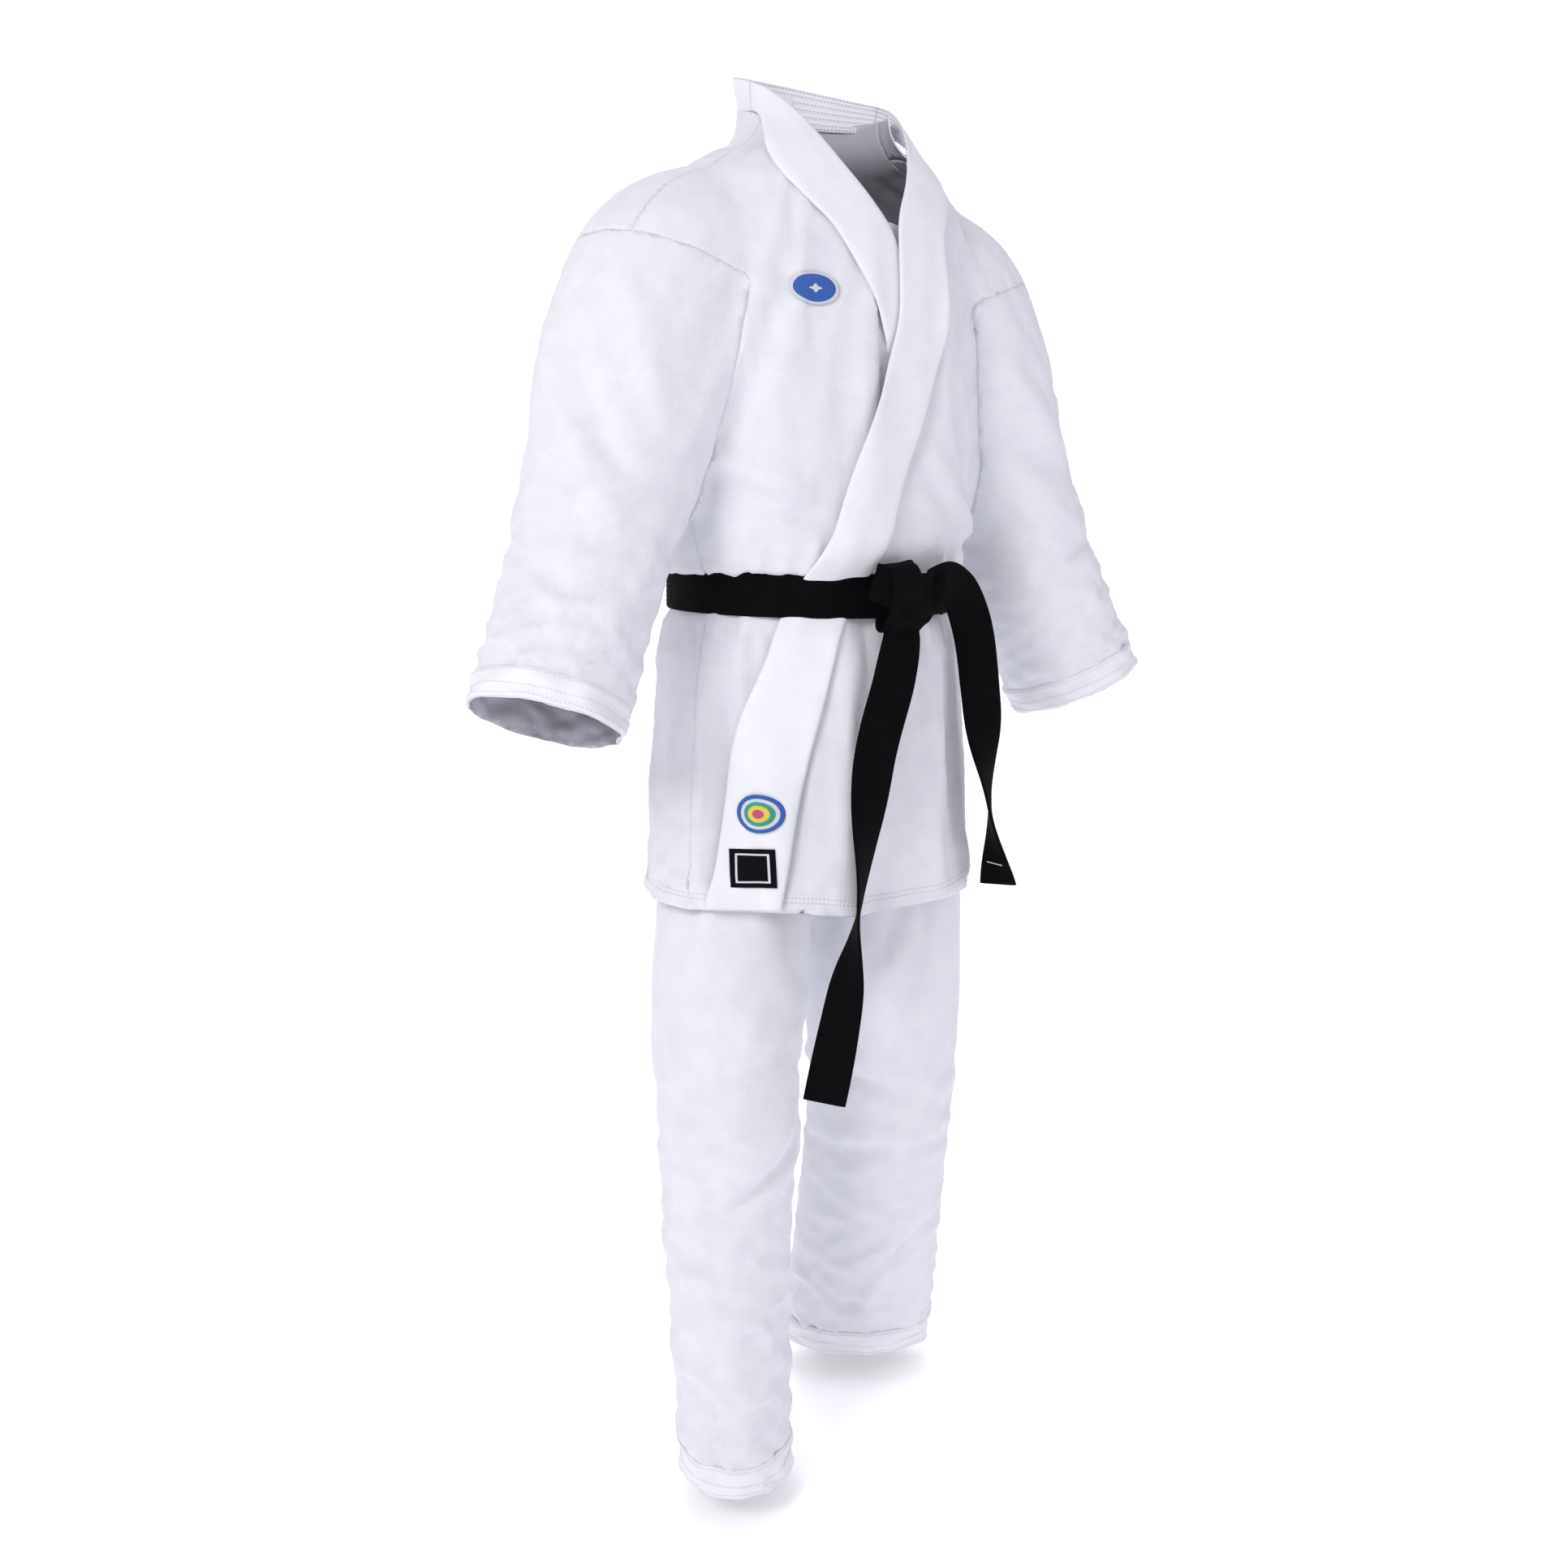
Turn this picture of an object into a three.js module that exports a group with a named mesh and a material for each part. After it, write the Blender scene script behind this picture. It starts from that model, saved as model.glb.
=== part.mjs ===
// A karate-style practice uniform as it hangs when worn: a crossover jacket, a knotted belt and loose
// trousers. Millimetres, +Z up, +X to the wearer's left, -Y to the front. The origin is the middle of
// the neck, at the height of the front of the collar, where the jacket is carried on the shoulders.
import * as THREE from "three";

// Driving dimensions.
const jacketLength = 820; // from the origin down to the front hem
const backHemRise = 20; // how much higher the hem is at the back
const chestHalfWidth = 191;
const chestHalfDepth = 128;
const waistHalfWidth = 163;
const waistHalfDepth = 119;
const hemHalfWidth = 202;
const hemHalfDepth = 141;
const waistDrop = 484; // from the origin down to the middle of the belt
const armpitDrop = 412;
const armholeX = 175; // the plane where each sleeve is sewn on
const shoulderDrop = 58; // the outer end of the shoulder seam
const sleeveLength = 545; // along the sleeve, from the armhole plane to the cuff
const cuffHalfWidth = 73; // across the cuff, in the plane of the spread arms
const cuffHalfDepth = 80;
const cuffHemWidth = 30;
const cloth = 3; // thickness of a single panel
const bandCloth = 5; // thickness of a folded and stitched band
const lapelWidth = 60;
const collarHeight = 58;
const vDrop = 120; // where the two lapels cross
const overlapLift = 7; // how far the left front lies off the chest where it covers the right front
const beltWidth = 45;
const beltThickness = 4;
const knotWidth = 84;
const knotHeight = 72;
const knotDepth = 34;
const trouserDrop = 1440; // from the origin down to the trouser hems
const crotchDrop = 800;
const hipDrop = 620; // height of the hip hinges
const hipSweep = 172; // radius, about the hip hinges, of the joint between seat and legs
const kneeDrop = 1070;
const kneeSweep = 118; // radius, about each knee hinge, of the joint between thigh and shin
const legHemWidth = 32;
const legHalfWidth = 92; // of the trouser hem, along its long axis
const legHalfDepth = 66;
const gap = 0.3; // between neighbouring pieces
const sweepGap = 0.45; // on each side of a sweep, where the facets cut its corners

const white = 0xf2f2f6;
const ringSteps = 24; // round a sleeve or a leg

const group = new THREE.Group();
const cottonMaterial = new THREE.MeshStandardMaterial({ color: white, roughness: 0.9 });
const liningMaterial = new THREE.MeshStandardMaterial({ color: 0xc9c6cf, roughness: 0.95 });
const beltMaterial = new THREE.MeshStandardMaterial({ color: 0x101013, roughness: 0.75 });
const patchMaterial = new THREE.MeshStandardMaterial({ color: 0x2f5fa8, roughness: 0.8 });

const lerp = THREE.MathUtils.lerp;
const ease = (x, from, to) => {
  const t = THREE.MathUtils.clamp((x - from) / (to - from), 0, 1);
  return t * t * (3 - 2 * t);
};

// A smooth curve through [key, value] rows whose keys rise.
function through(rows) {
  return (key) => {
    const last = rows.length - 1;
    if (key <= rows[0][0]) return rows[0][1];
    if (key >= rows[last][0]) return rows[last][1];
    let i = 0;
    while (rows[i + 1][0] < key) i++;
    const slope = (k) => {
      if (k === 0 || k === last) return 0;
      const before = (rows[k][1] - rows[k - 1][1]) / (rows[k][0] - rows[k - 1][0]);
      const after = (rows[k + 1][1] - rows[k][1]) / (rows[k + 1][0] - rows[k][0]);
      return before * after <= 0 ? 0 : (2 * before * after) / (before + after);
    };
    const width = rows[i + 1][0] - rows[i][0];
    const t = (key - rows[i][0]) / width;
    const a = rows[i][1];
    const b = rows[i + 1][1];
    return (
      a * (1 + 2 * t) * (1 - t) ** 2 +
      slope(i) * width * t * (1 - t) ** 2 +
      b * t * t * (3 - 2 * t) +
      slope(i + 1) * width * t * t * (t - 1)
    );
  };
}

// A closed solid between two surfaces over the same grid; surface(u, v, side) has side 0 inside, 1 outside.
function sheetSolid(surface, columns, rows, round = false) {
  const positions = [];
  const index = [];
  const across = round ? columns : columns + 1;
  const at = (i, j, side) => (side * (rows + 1) + j) * across + (i % across);
  for (const side of [0, 1])
    for (let j = 0; j <= rows; j++)
      for (let i = 0; i < across; i++)
        positions.push(...surface(i / columns, j / rows, side).toArray());
  const quad = (a, b, c, d) => index.push(a, b, c, a, c, d);
  for (let j = 0; j < rows; j++)
    for (let i = 0; i < columns; i++) {
      quad(at(i, j, 1), at(i + 1, j, 1), at(i + 1, j + 1, 1), at(i, j + 1, 1));
      quad(at(i, j, 0), at(i, j + 1, 0), at(i + 1, j + 1, 0), at(i + 1, j, 0));
    }
  for (let i = 0; i < columns; i++) {
    quad(at(i, 0, 0), at(i + 1, 0, 0), at(i + 1, 0, 1), at(i, 0, 1));
    quad(at(i, rows, 1), at(i + 1, rows, 1), at(i + 1, rows, 0), at(i, rows, 0));
  }
  if (!round)
    for (let j = 0; j < rows; j++) {
      quad(at(0, j, 1), at(0, j + 1, 1), at(0, j + 1, 0), at(0, j, 0));
      quad(at(columns, j, 0), at(columns, j + 1, 0), at(columns, j + 1, 1), at(columns, j, 1));
    }
  const geometry = new THREE.BufferGeometry();
  geometry.setAttribute("position", new THREE.Float32BufferAttribute(positions, 3));
  geometry.setIndex(index);
  return facingOut(geometry);
}

// Turns every face of a closed geometry round when it encloses a negative volume.
function facingOut(geometry) {
  const p = geometry.getAttribute("position");
  const index = geometry.getIndex();
  const corner = (k) => new THREE.Vector3().fromBufferAttribute(p, index.getX(k));
  let volume = 0;
  for (let k = 0; k < index.count; k += 3)
    volume += corner(k).dot(corner(k + 1).cross(corner(k + 2)));
  if (volume < 0)
    for (let k = 0; k < index.count; k += 3) {
      const second = index.getX(k + 1);
      index.setX(k + 1, index.getX(k + 2));
      index.setX(k + 2, second);
    }
  geometry.computeVertexNormals();
  return geometry;
}

function add(name, geometry, material = cottonMaterial) {
  const mesh = new THREE.Mesh(geometry, material);
  mesh.name = name;
  group.add(mesh);
}

// Moves a point of surface(a, b) along the surface's outward normal, away from the line x = middleX, y = middleY.
function lifted(surface, a, b, da, db, lift, middle) {
  const p = surface(a, b);
  const alongA = surface(a + da, b).sub(surface(a - da, b));
  const alongB = surface(a, b + db).sub(surface(a, b - db));
  const normal = alongA.cross(alongB).normalize();
  if (normal.dot(p.clone().sub(middle(b))) < 0) normal.negate();
  return p.addScaledVector(normal, lift);
}

// ---- Torso ------------------------------------------------------------------------------------
const squareness = 2.3; // of the torso's rounded cross-section
const torsoWidth = through([
  [-jacketLength, hemHalfWidth],
  [-700, hemHalfWidth - 9],
  [-560, waistHalfWidth + 18],
  [-waistDrop, waistHalfWidth],
  [-440, waistHalfWidth + 9],
  [-armpitDrop, armholeX - gap],
  [-380, chestHalfWidth - 8],
  [-300, chestHalfWidth - 1],
  [-200, chestHalfWidth],
  [-95, chestHalfWidth],
  [-shoulderDrop, armholeX - gap],
  [-40, 156],
  [-15, 118],
  [15, 80],
]);
const torsoDepth = through([
  [-jacketLength, hemHalfDepth],
  [-700, hemHalfDepth - 5],
  [-560, waistHalfDepth + 9],
  [-waistDrop, waistHalfDepth],
  [-440, waistHalfDepth + 11],
  [-380, chestHalfDepth + 3],
  [-200, chestHalfDepth],
  [-95, chestHalfDepth - 9],
  [-shoulderDrop, chestHalfDepth - 16],
  [-15, 92],
  [15, 76],
]);
const middleAt = (z) => new THREE.Vector3(0, 0, z);
// angle 0 is the wearer's left, PI/2 the back, PI the right and 3*PI/2 the front.
function torso(angle, z) {
  const c = Math.cos(angle);
  const s = Math.sin(angle);
  const power = 2 / squareness;
  return new THREE.Vector3(
    torsoWidth(z) * Math.sign(c) * Math.abs(c) ** power,
    torsoDepth(z) * Math.sign(s) * Math.abs(s) ** power,
    z,
  );
}
const torsoLifted = (angle, z, lift) => lifted(torso, angle, z, 0.01, 0.5, lift, middleAt);
// The angle, on the front or the back, where the torso's surface reaches x.
function angleAt(x, z, front) {
  const share = THREE.MathUtils.clamp(x / torsoWidth(z), -1, 1);
  const angle = Math.acos(Math.sign(share) * Math.abs(share) ** (squareness / 2));
  return front ? 2 * Math.PI - angle : angle;
}
// Heights of the rows that every piece of the jacket's body shares, so that neighbours bend alike.
const torsoLevels = [
  -jacketLength,
  -760,
  -700,
  -610,
  -560,
  -waistDrop - 43,
  -waistDrop - beltWidth / 2,
  -waistDrop,
  -waistDrop + beltWidth / 2,
  -waistDrop + 42,
  -armpitDrop,
  -380,
  -300,
  -200,
  -145,
  -95,
  -75,
  -shoulderDrop,
  -48,
  -38,
  -28,
  -17,
  -7,
];
function levelAt(share, top) {
  const levels = [...torsoLevels, top];
  const place = share * (levels.length - 1);
  const row = Math.min(Math.floor(place), levels.length - 2);
  return lerp(levels[row], levels[row + 1], place - row);
}
const hemAt = (angle) => -jacketLength + (backHemRise * (1 + Math.sin(angle))) / 2;

// Edges of the two lapels, and of the seams that join them to the fronts.
const leftEdge = through([
  [-jacketLength, -172],
  [-700, -152],
  [-530, -117],
  [-453, -79],
  [-374, -54],
  [-260, -8],
  [-200, 10],
  [-vDrop, 14],
  [-60, 44],
  [5, 68],
]);
const rightEdge = through([
  [-jacketLength, 108],
  [-450, 96],
  [-300, 76],
  [-200, 48],
  [-vDrop, 8],
  [-60, -40],
  [5, -68],
]);
const slantedWidth = (edge, z) => {
  const slope = (edge(z + 5) - edge(z - 5)) / 10;
  return lapelWidth * Math.min(1.3, Math.hypot(1, slope));
};
const leftSeam = (z) => leftEdge(z) + slantedWidth(leftEdge, z);
const rightSeam = (z) => rightEdge(z) - slantedWidth(rightEdge, z);
const liftLeft = (x, z) => overlapLift * ease(x, 158, 118) * ease(z, -55, -100);

const frontTop = 2; // where the fronts meet the collar
const backTop = 8;
const seamSide = (x) => (Math.abs(x) > armholeX - gap ? Math.sign(x) * (armholeX - gap) : x);

// A piece of the torso between two limits in x, both given as functions of z.
function torsoPanel(fromX, toX, front, thickness, lift, columns) {
  const topZ = front ? frontTop : backTop;
  return sheetSolid(
    (u, v, side) => {
      const rough = levelAt(v, topZ);
      const start = angleAt(fromX(rough), rough, front);
      const end = angleAt(toX(rough), rough, front);
      const angle = lerp(start, end, u);
      const z = v === 0 ? hemAt(angle) : rough;
      const p = torsoLifted(angle, z, lift(torso(angle, z).x, z) + side * thickness);
      if (z > -waistDrop) p.x = seamSide(p.x); // clear of the sleeve's own plane
      return p;
    },
    columns,
    torsoLevels.length,
  );
}
// The side seam, or the armhole above it; the two panels that meet there each stop half a gap short.
const sideLimit = (sign) => (z) => sign * Math.min(torsoWidth(z), z > -armpitDrop ? armholeX - gap : Infinity);
const noLift = () => 0;
const inward = (edge, by) => (z) => edge(z) + by;

for (const [side, sign] of [
  ["right", -1],
  ["left", 1],
]) {
  const left = sign > 0;
  const seam = left ? inward(leftSeam, gap) : inward(rightSeam, -gap);
  const lift = left ? liftLeft : noLift;
  add("front_panel_" + side, torsoPanel(sideLimit(sign), seam, true, cloth, lift, 9));
  add("back_panel_" + side, torsoPanel(sideLimit(sign), () => sign * gap, false, cloth, noLift, 8));
  const edge = left ? leftEdge : rightEdge;
  const fold = left ? leftSeam : rightSeam;
  add("lapel_" + side, torsoPanel(edge, fold, true, bandCloth, lift, 4));
}

// ---- Collar: a standing band round the back of the neck, from one lapel's top to the other's ----
const collarStart = 0.06 * Math.PI; // how far behind the wearer's left the band starts
function neckLine(turn, height) {
  const angle = lerp(-collarStart, Math.PI + collarStart, turn);
  const back = Math.max(0, Math.sin(angle));
  const flare = 1 + 0.1 * height;
  const standing = lerp(0.62, 1, back) * collarHeight;
  return new THREE.Vector3(
    (74 + 6 * (1 - back)) * flare * Math.cos(angle),
    4 + 74 * flare * Math.sin(angle),
    lerp(4.5, 16, back) + height * standing,
  );
}
const neckMiddle = () => new THREE.Vector3(0, 4, 30);
add(
  "collar_neck",
  sheetSolid(
    (u, v, side) => lifted(neckLine, u, v, 0.005, 0.01, (side - 0.5) * bandCloth, neckMiddle),
    18,
    3,
  ),
);

// ---- Sleeves ----------------------------------------------------------------------------------
// The armhole's outline in the plane x = armholeX: turn 0 at its top, 0.5 at the armpit, the front first.
function armhole(turn) {
  const height = 0.5 - 0.5 * Math.cos(2 * Math.PI * turn); // 0 at the top, 1 at the armpit
  const z = lerp(-shoulderDrop, -armpitDrop, height);
  const share = Math.min(1, armholeX / Math.max(torsoWidth(z), armholeX));
  const depth = torsoDepth(z) * Math.max(0, 1 - share ** squareness) ** (1 / squareness);
  const fullness = 30 * Math.max(0, Math.sin(Math.PI * height)) ** 0.6;
  return new THREE.Vector2(-Math.sign(Math.sin(2 * Math.PI * turn)) * Math.max(depth, fullness), z);
}
const sleeveAxis = (share) =>
  new THREE.Vector3(
    armholeX + 2 * gap + 190 * share - 8 * Math.sin(Math.PI * share),
    -56 * Math.max(share, 0) ** 1.6,
    lerp((-shoulderDrop - armpitDrop) / 2, -sleeveLength - shoulderDrop, share),
  );
const sleeveReach = through([
  [0, (armpitDrop - shoulderDrop) / 2],
  [0.25, 124],
  [0.5, 96],
  [0.75, 80],
  [1, cuffHalfWidth],
]);
function sleeve(turn, share) {
  const start = armhole(turn);
  const phase = 2 * Math.PI * turn;
  const lean = 0.5 * Math.min(1, share * 1.8); // the cuff's tilt about the Y axis
  const reach = sleeveReach(share);
  const across = reach * Math.cos(phase);
  const depth = lerp(72, cuffHalfDepth, share);
  const axis = sleeveAxis(share);
  const shaped = new THREE.Vector3(
    axis.x + across * Math.sin(lean + 0.62 * share),
    axis.y - depth * Math.sin(phase),
    axis.z + across * Math.cos(lean + 0.62 * share),
  );
  const flat = new THREE.Vector3(armholeX + gap, start.x, start.y);
  const mixed = flat.lerp(shaped, ease(share, 0, 0.3));
  mixed.x = Math.max(mixed.x, armholeX + gap);
  return mixed;
}
function sleeveTube(sign, from, to, thickness, rows) {
  const middle = (share) => sleeveAxis(share);
  return sheetSolid(
    (u, v, side) => {
      const share = lerp(from, to, v);
      const p = lifted(sleeve, u, share, 0.01, 0.01, (side - 1) * cloth + (thickness - cloth) * side, middle);
      p.x = Math.max(p.x, armholeX + gap);
      return new THREE.Vector3(sign * p.x, p.y, p.z);
    },
    ringSteps,
    rows,
    true,
  );
}
const cuffStart = 1 - cuffHemWidth / sleeveLength;
for (const [side, sign] of [
  ["right", -1],
  ["left", 1],
]) {
  add("sleeve_" + side, sleeveTube(sign, 0, cuffStart, cloth, 9));
  add("cuff_hem_" + side, sleeveTube(sign, cuffStart + gap / sleeveLength, 1, bandCloth, 1));
}

// ---- Belt -------------------------------------------------------------------------------------
const beltEase = 0.6; // further clearance, because the belt's facets cut the corners of the cloth's
const beltLift = (x, front) => {
  const overLapel = front ? ease(x, -158, -122) * ease(x, 172, 150) : 0;
  return cloth + gap + beltEase + (overlapLift + bandCloth - cloth) * overLapel;
};
add(
  "belt_wrap",
  sheetSolid(
    (u, v, side) => {
      const angle = 2 * Math.PI * u;
      const z = -waistDrop + (v - 0.5) * beltWidth;
      const lift = beltLift(torso(angle, z).x, Math.sin(angle) < 0);
      return torsoLifted(angle, z, lift + side * beltThickness);
    },
    44,
    2,
    true,
  ),
  beltMaterial,
);

const knotX = 8;
const knotBack = -(waistHalfDepth + beltLift(knotX, true) + beltThickness + gap + 1.5);
// The knot: two crossing bights pressed into one rounded lump.
function knotSkin(u, v) {
  const around = 2 * Math.PI * u;
  const across = Math.cos(around);
  const up = Math.sin(around);
  const radius = Math.sin(Math.PI * lerp(0.02, 0.98, v));
  const waist = 1 - 0.14 * Math.cos(4 * around);
  return new THREE.Vector3(
    knotX + (knotWidth / 2) * across * radius * waist,
    knotBack - (knotDepth / 2) * (1 + Math.cos(Math.PI * v)) * 0.98,
    -waistDrop - 6 + (knotHeight / 2) * up * radius * waist,
  );
}
function knotGeometry() {
  const columns = 20;
  const rows = 8;
  const positions = [];
  const index = [];
  for (let j = 1; j < rows; j++)
    for (let i = 0; i < columns; i++) positions.push(...knotSkin(i / columns, j / rows).toArray());
  const front = positions.length / 3;
  positions.push(knotX, knotBack - knotDepth, -waistDrop - 6);
  positions.push(knotX, knotBack, -waistDrop - 6);
  const at = (i, j) => (j - 1) * columns + (i % columns);
  for (let i = 0; i < columns; i++) {
    index.push(front, at(i, 1), at(i + 1, 1));
    index.push(front + 1, at(i + 1, rows - 1), at(i, rows - 1));
    for (let j = 1; j < rows - 1; j++)
      index.push(at(i, j), at(i, j + 1), at(i + 1, j + 1), at(i, j), at(i + 1, j + 1), at(i + 1, j));
  }
  const geometry = new THREE.BufferGeometry();
  geometry.setAttribute("position", new THREE.Float32BufferAttribute(positions, 3));
  geometry.setIndex(index);
  return facingOut(geometry);
}
add("belt_knot", knotGeometry(), beltMaterial);

// A flat strap along a smooth path; facing gives the direction of its flat side at each share of it.
function strap(points, facing, thickness, steps, from = 0, to = 1, lift = 0) {
  const path = new THREE.CatmullRomCurve3(points.map((p) => new THREE.Vector3(...p)));
  return sheetSolid(
    (u, v, side) => {
      const share = lerp(from, to, v);
      const p = path.getPointAt(share);
      const along = path.getTangentAt(share);
      const out = facing(share).addScaledVector(along, -facing(share).dot(along)).normalize();
      const across = new THREE.Vector3().crossVectors(along, out);
      return p.addScaledVector(across, (u - 0.5) * beltWidth).addScaledVector(out, lift + side * thickness);
    },
    2,
    steps,
  );
}
const knotFoot = -waistDrop - 6 - knotHeight / 2;
const tails = {
  right: {
    points: [
      [2, knotBack - 15, knotFoot - 1.4],
      [-12, knotBack - 19, knotFoot - 48],
      [-42, knotBack - 21, -660],
      [-60, knotBack - 22, -800],
      [-78, knotBack - 20, -905],
      [-98, knotBack - 14, -1010],
    ],
    facing: (share) => new THREE.Vector3(Math.sin(0.5 - 1.4 * ease(share, 0.45, 0.8)) * 0.8, -1, 0),
  },
  left: {
    points: [
      [knotX + 0.465 * knotWidth, knotBack - knotDepth / 2 + 2, -waistDrop + 6],
      [knotX + 76, knotBack - 8, -waistDrop + 4],
      [knotX + 108, knotBack + 2, -530],
      [knotX + 126, knotBack + 6, -610],
      [knotX + 142, knotBack + 8, -720],
      [knotX + 158, knotBack + 8, -815],
    ],
    facing: (share) => new THREE.Vector3(0.55 + 0.2 * Math.sin(6 * share), -1, 0.1),
  },
};
for (const side of ["right", "left"]) {
  const { points, facing } = tails[side];
  add("belt_end_" + side, strap(points, facing, beltThickness, 18), beltMaterial);
}

const patchCloth = 1;
const patchEase = 0.6; // clear of the facets beneath
// ---- Patches ----------------------------------------------------------------------------------
// A thin patch sewn on a front that already lies off the chest by under(x, z).
function surfacePatch(name, centreX, z, width, height, under, material) {
  add(
    name,
    sheetSolid(
      (u, v, side) => {
        const level = z + (v - 0.5) * height;
        const x = centreX + (u - 0.5) * width;
        return torsoLifted(angleAt(x, level, true), level, under(x, level) + patchEase + side * patchCloth);
      },
      4,
      3,
    ),
    material,
  );
}
const onRightFront = () => cloth;
const onLeftLapel = (x, z) => liftLeft(x, z) + bandCloth;
surfacePatch("chest_mark", -84, -187, 58, 36, onRightFront, liningMaterial);
surfacePatch("emblem_patch", -122, -711, 38, 44, onLeftLapel, patchMaterial);
surfacePatch("label_patch", -131, -768, 38, 40, onLeftLapel, beltMaterial);

// ---- Trousers ---------------------------------------------------------------------------------
const pelvisTop = -waistDrop - beltWidth / 2 - 4 * gap; // clear of the band, whose edge leans down a little
const pelvisWidth = through([
  [-crotchDrop - 60, 176],
  [-700, 172],
  [-560, waistHalfWidth + 3],
  [pelvisTop, torsoWidth(pelvisTop) - beltEase - 2 * gap],
]);
const pelvisDepth = through([
  [-crotchDrop - 60, 104],
  [-700, 110],
  [-560, waistHalfDepth - 5],
  [pelvisTop, torsoDepth(pelvisTop) - beltEase - 2 * gap],
]);
function pelvis(angle, z) {
  const c = Math.cos(angle);
  const s = Math.sin(angle);
  const power = 2 / squareness;
  return new THREE.Vector3(
    pelvisWidth(z) * Math.sign(c) * Math.abs(c) ** power,
    pelvisDepth(z) * Math.sign(s) * Math.abs(s) ** power,
    z,
  );
}
add(
  "waistband",
  sheetSolid(
    (u, v, side) => {
      const z = -waistDrop + (v - 0.5) * beltWidth;
      return torsoLifted(2 * Math.PI * u, z, -gap - beltEase - cloth * (1 - side));
    },
    44,
    2,
    true,
  ),
);

// Where a line down the cloth, place(z), meets a sweep of the given radius about a hinge at height hingeZ.
function onSweep(place, hingeY, hingeZ, radius) {
  let z = hingeZ - radius;
  for (let i = 0; i < 12; i++) {
    const y = place(z).y - hingeY;
    z = hingeZ - Math.sqrt(Math.max(radius * radius - y * y, 1));
  }
  return z;
}
const innerLegX = 2; // half the gap between the two legs
for (const [side, sign] of [
  ["right", -1],
  ["left", 1],
]) {
  const quarter = (u) => lerp(-Math.PI / 2, Math.PI / 2, u);
  add(
    "seat_" + side,
    sheetSolid(
      (u, v, wall) => {
        const angle = quarter(u);
        const place = (z) => lifted(pelvis, angle, z, 0.01, 0.5, (wall - 1) * cloth, middleAt);
        const foot = onSweep(place, 0, -hipDrop, hipSweep - sweepGap);
        const p = place(lerp(pelvisTop, foot, v));
        return new THREE.Vector3(sign * Math.max(p.x, gap), p.y, p.z);
      },
      11,
      7,
    ),
  );

  const right = sign < 0;
  const hemY = right ? -45 : 108;
  const kneeY = right ? -8 : 20;
  const middleX = through([
    [-trouserDrop, 150],
    [-kneeDrop, 140],
    [-crotchDrop - 40, 104],
    [-hipDrop, 88],
  ]);
  const middleY = through([
    [-trouserDrop, hemY],
    [-kneeDrop, kneeY],
    [-crotchDrop, 0],
    [-hipDrop, 0],
  ]);
  const longHalf = through([
    [-trouserDrop, legHalfWidth],
    [-kneeDrop, legHalfWidth + 1],
    [-crotchDrop - 40, 97],
  ]);
  const shortHalf = through([
    [-trouserDrop, legHalfDepth],
    [-kneeDrop, 76],
    [-crotchDrop - 40, 96],
  ]);
  const turnOut = through([
    [-trouserDrop, right ? 0.93 : 0.64],
    [-kneeDrop, right ? 0.6 : 0.5],
    [-crotchDrop, 0],
  ]);
  // The leg in the right-hand half: turn 0 at the front by the middle, round the outside, back along the inside.
  function leg(around, z) {
    const outer = 0.7;
    const turn = around - Math.floor(around);
    let top;
    if (turn < outer) top = pelvis(-Math.PI / 2 + (Math.PI * turn) / outer, z);
    else {
      const share = (turn - outer) / (1 - outer);
      top = new THREE.Vector3(0, pelvisDepth(z) * (1 - 2 * share), z);
    }
    top.x = Math.max(top.x, innerLegX);
    const x = middleX(z);
    const y = middleY(z);
    const at = Math.atan2(top.y, top.x - 92);
    const lean = -turnOut(z);
    const a = at - lean;
    const p = new THREE.Vector2(longHalf(z) * Math.cos(a), shortHalf(z) * Math.sin(a)).rotateAround(
      new THREE.Vector2(),
      lean,
    );
    const tube = new THREE.Vector3(Math.max(x + p.x, innerLegX), y + p.y, z);
    return top.lerp(tube, ease(-z, crotchDrop - 40, crotchDrop + 150));
  }
  const legMiddle = (z) => new THREE.Vector3(middleX(z), middleY(z), z);
  function legTube(from, to, thickness, rows) {
    return sheetSolid(
      (u, v, wall) => {
        const lift = (wall - 1) * cloth + wall * (thickness - cloth);
        const place = (z) => lifted(leg, u, z, 0.01, 1, lift, legMiddle);
        const p = place(lerp(from(place), to(place), v));
        return new THREE.Vector3(sign * Math.max(p.x, innerLegX / 2), p.y, p.z);
      },
      ringSteps,
      rows,
      true,
    );
  }
  const hip = (place) => onSweep(place, 0, -hipDrop, hipSweep + sweepGap);
  const kneeIn = (place) => onSweep(place, kneeY, -kneeDrop, kneeSweep - sweepGap);
  const kneeOut = (place) => onSweep(place, kneeY, -kneeDrop, kneeSweep + sweepGap);
  const hemTop = () => -trouserDrop + legHemWidth;
  add("thigh_" + side, legTube(hip, kneeIn, cloth, 9));
  add("shin_" + side, legTube(kneeOut, () => hemTop() + gap, cloth, 5));
  add("trouser_hem_" + side, legTube(hemTop, () => -trouserDrop, bandCloth, 1));
}

export default group;
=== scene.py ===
# Looks of a crossover jacket, a knotted belt and loose trousers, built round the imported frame. Metres, +Z up.
import math
import bpy
import bmesh
import numpy as np
from contextlib import contextmanager
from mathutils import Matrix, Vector
from mathutils.bvhtree import BVHTree
from mathutils.kdtree import KDTree


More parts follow.
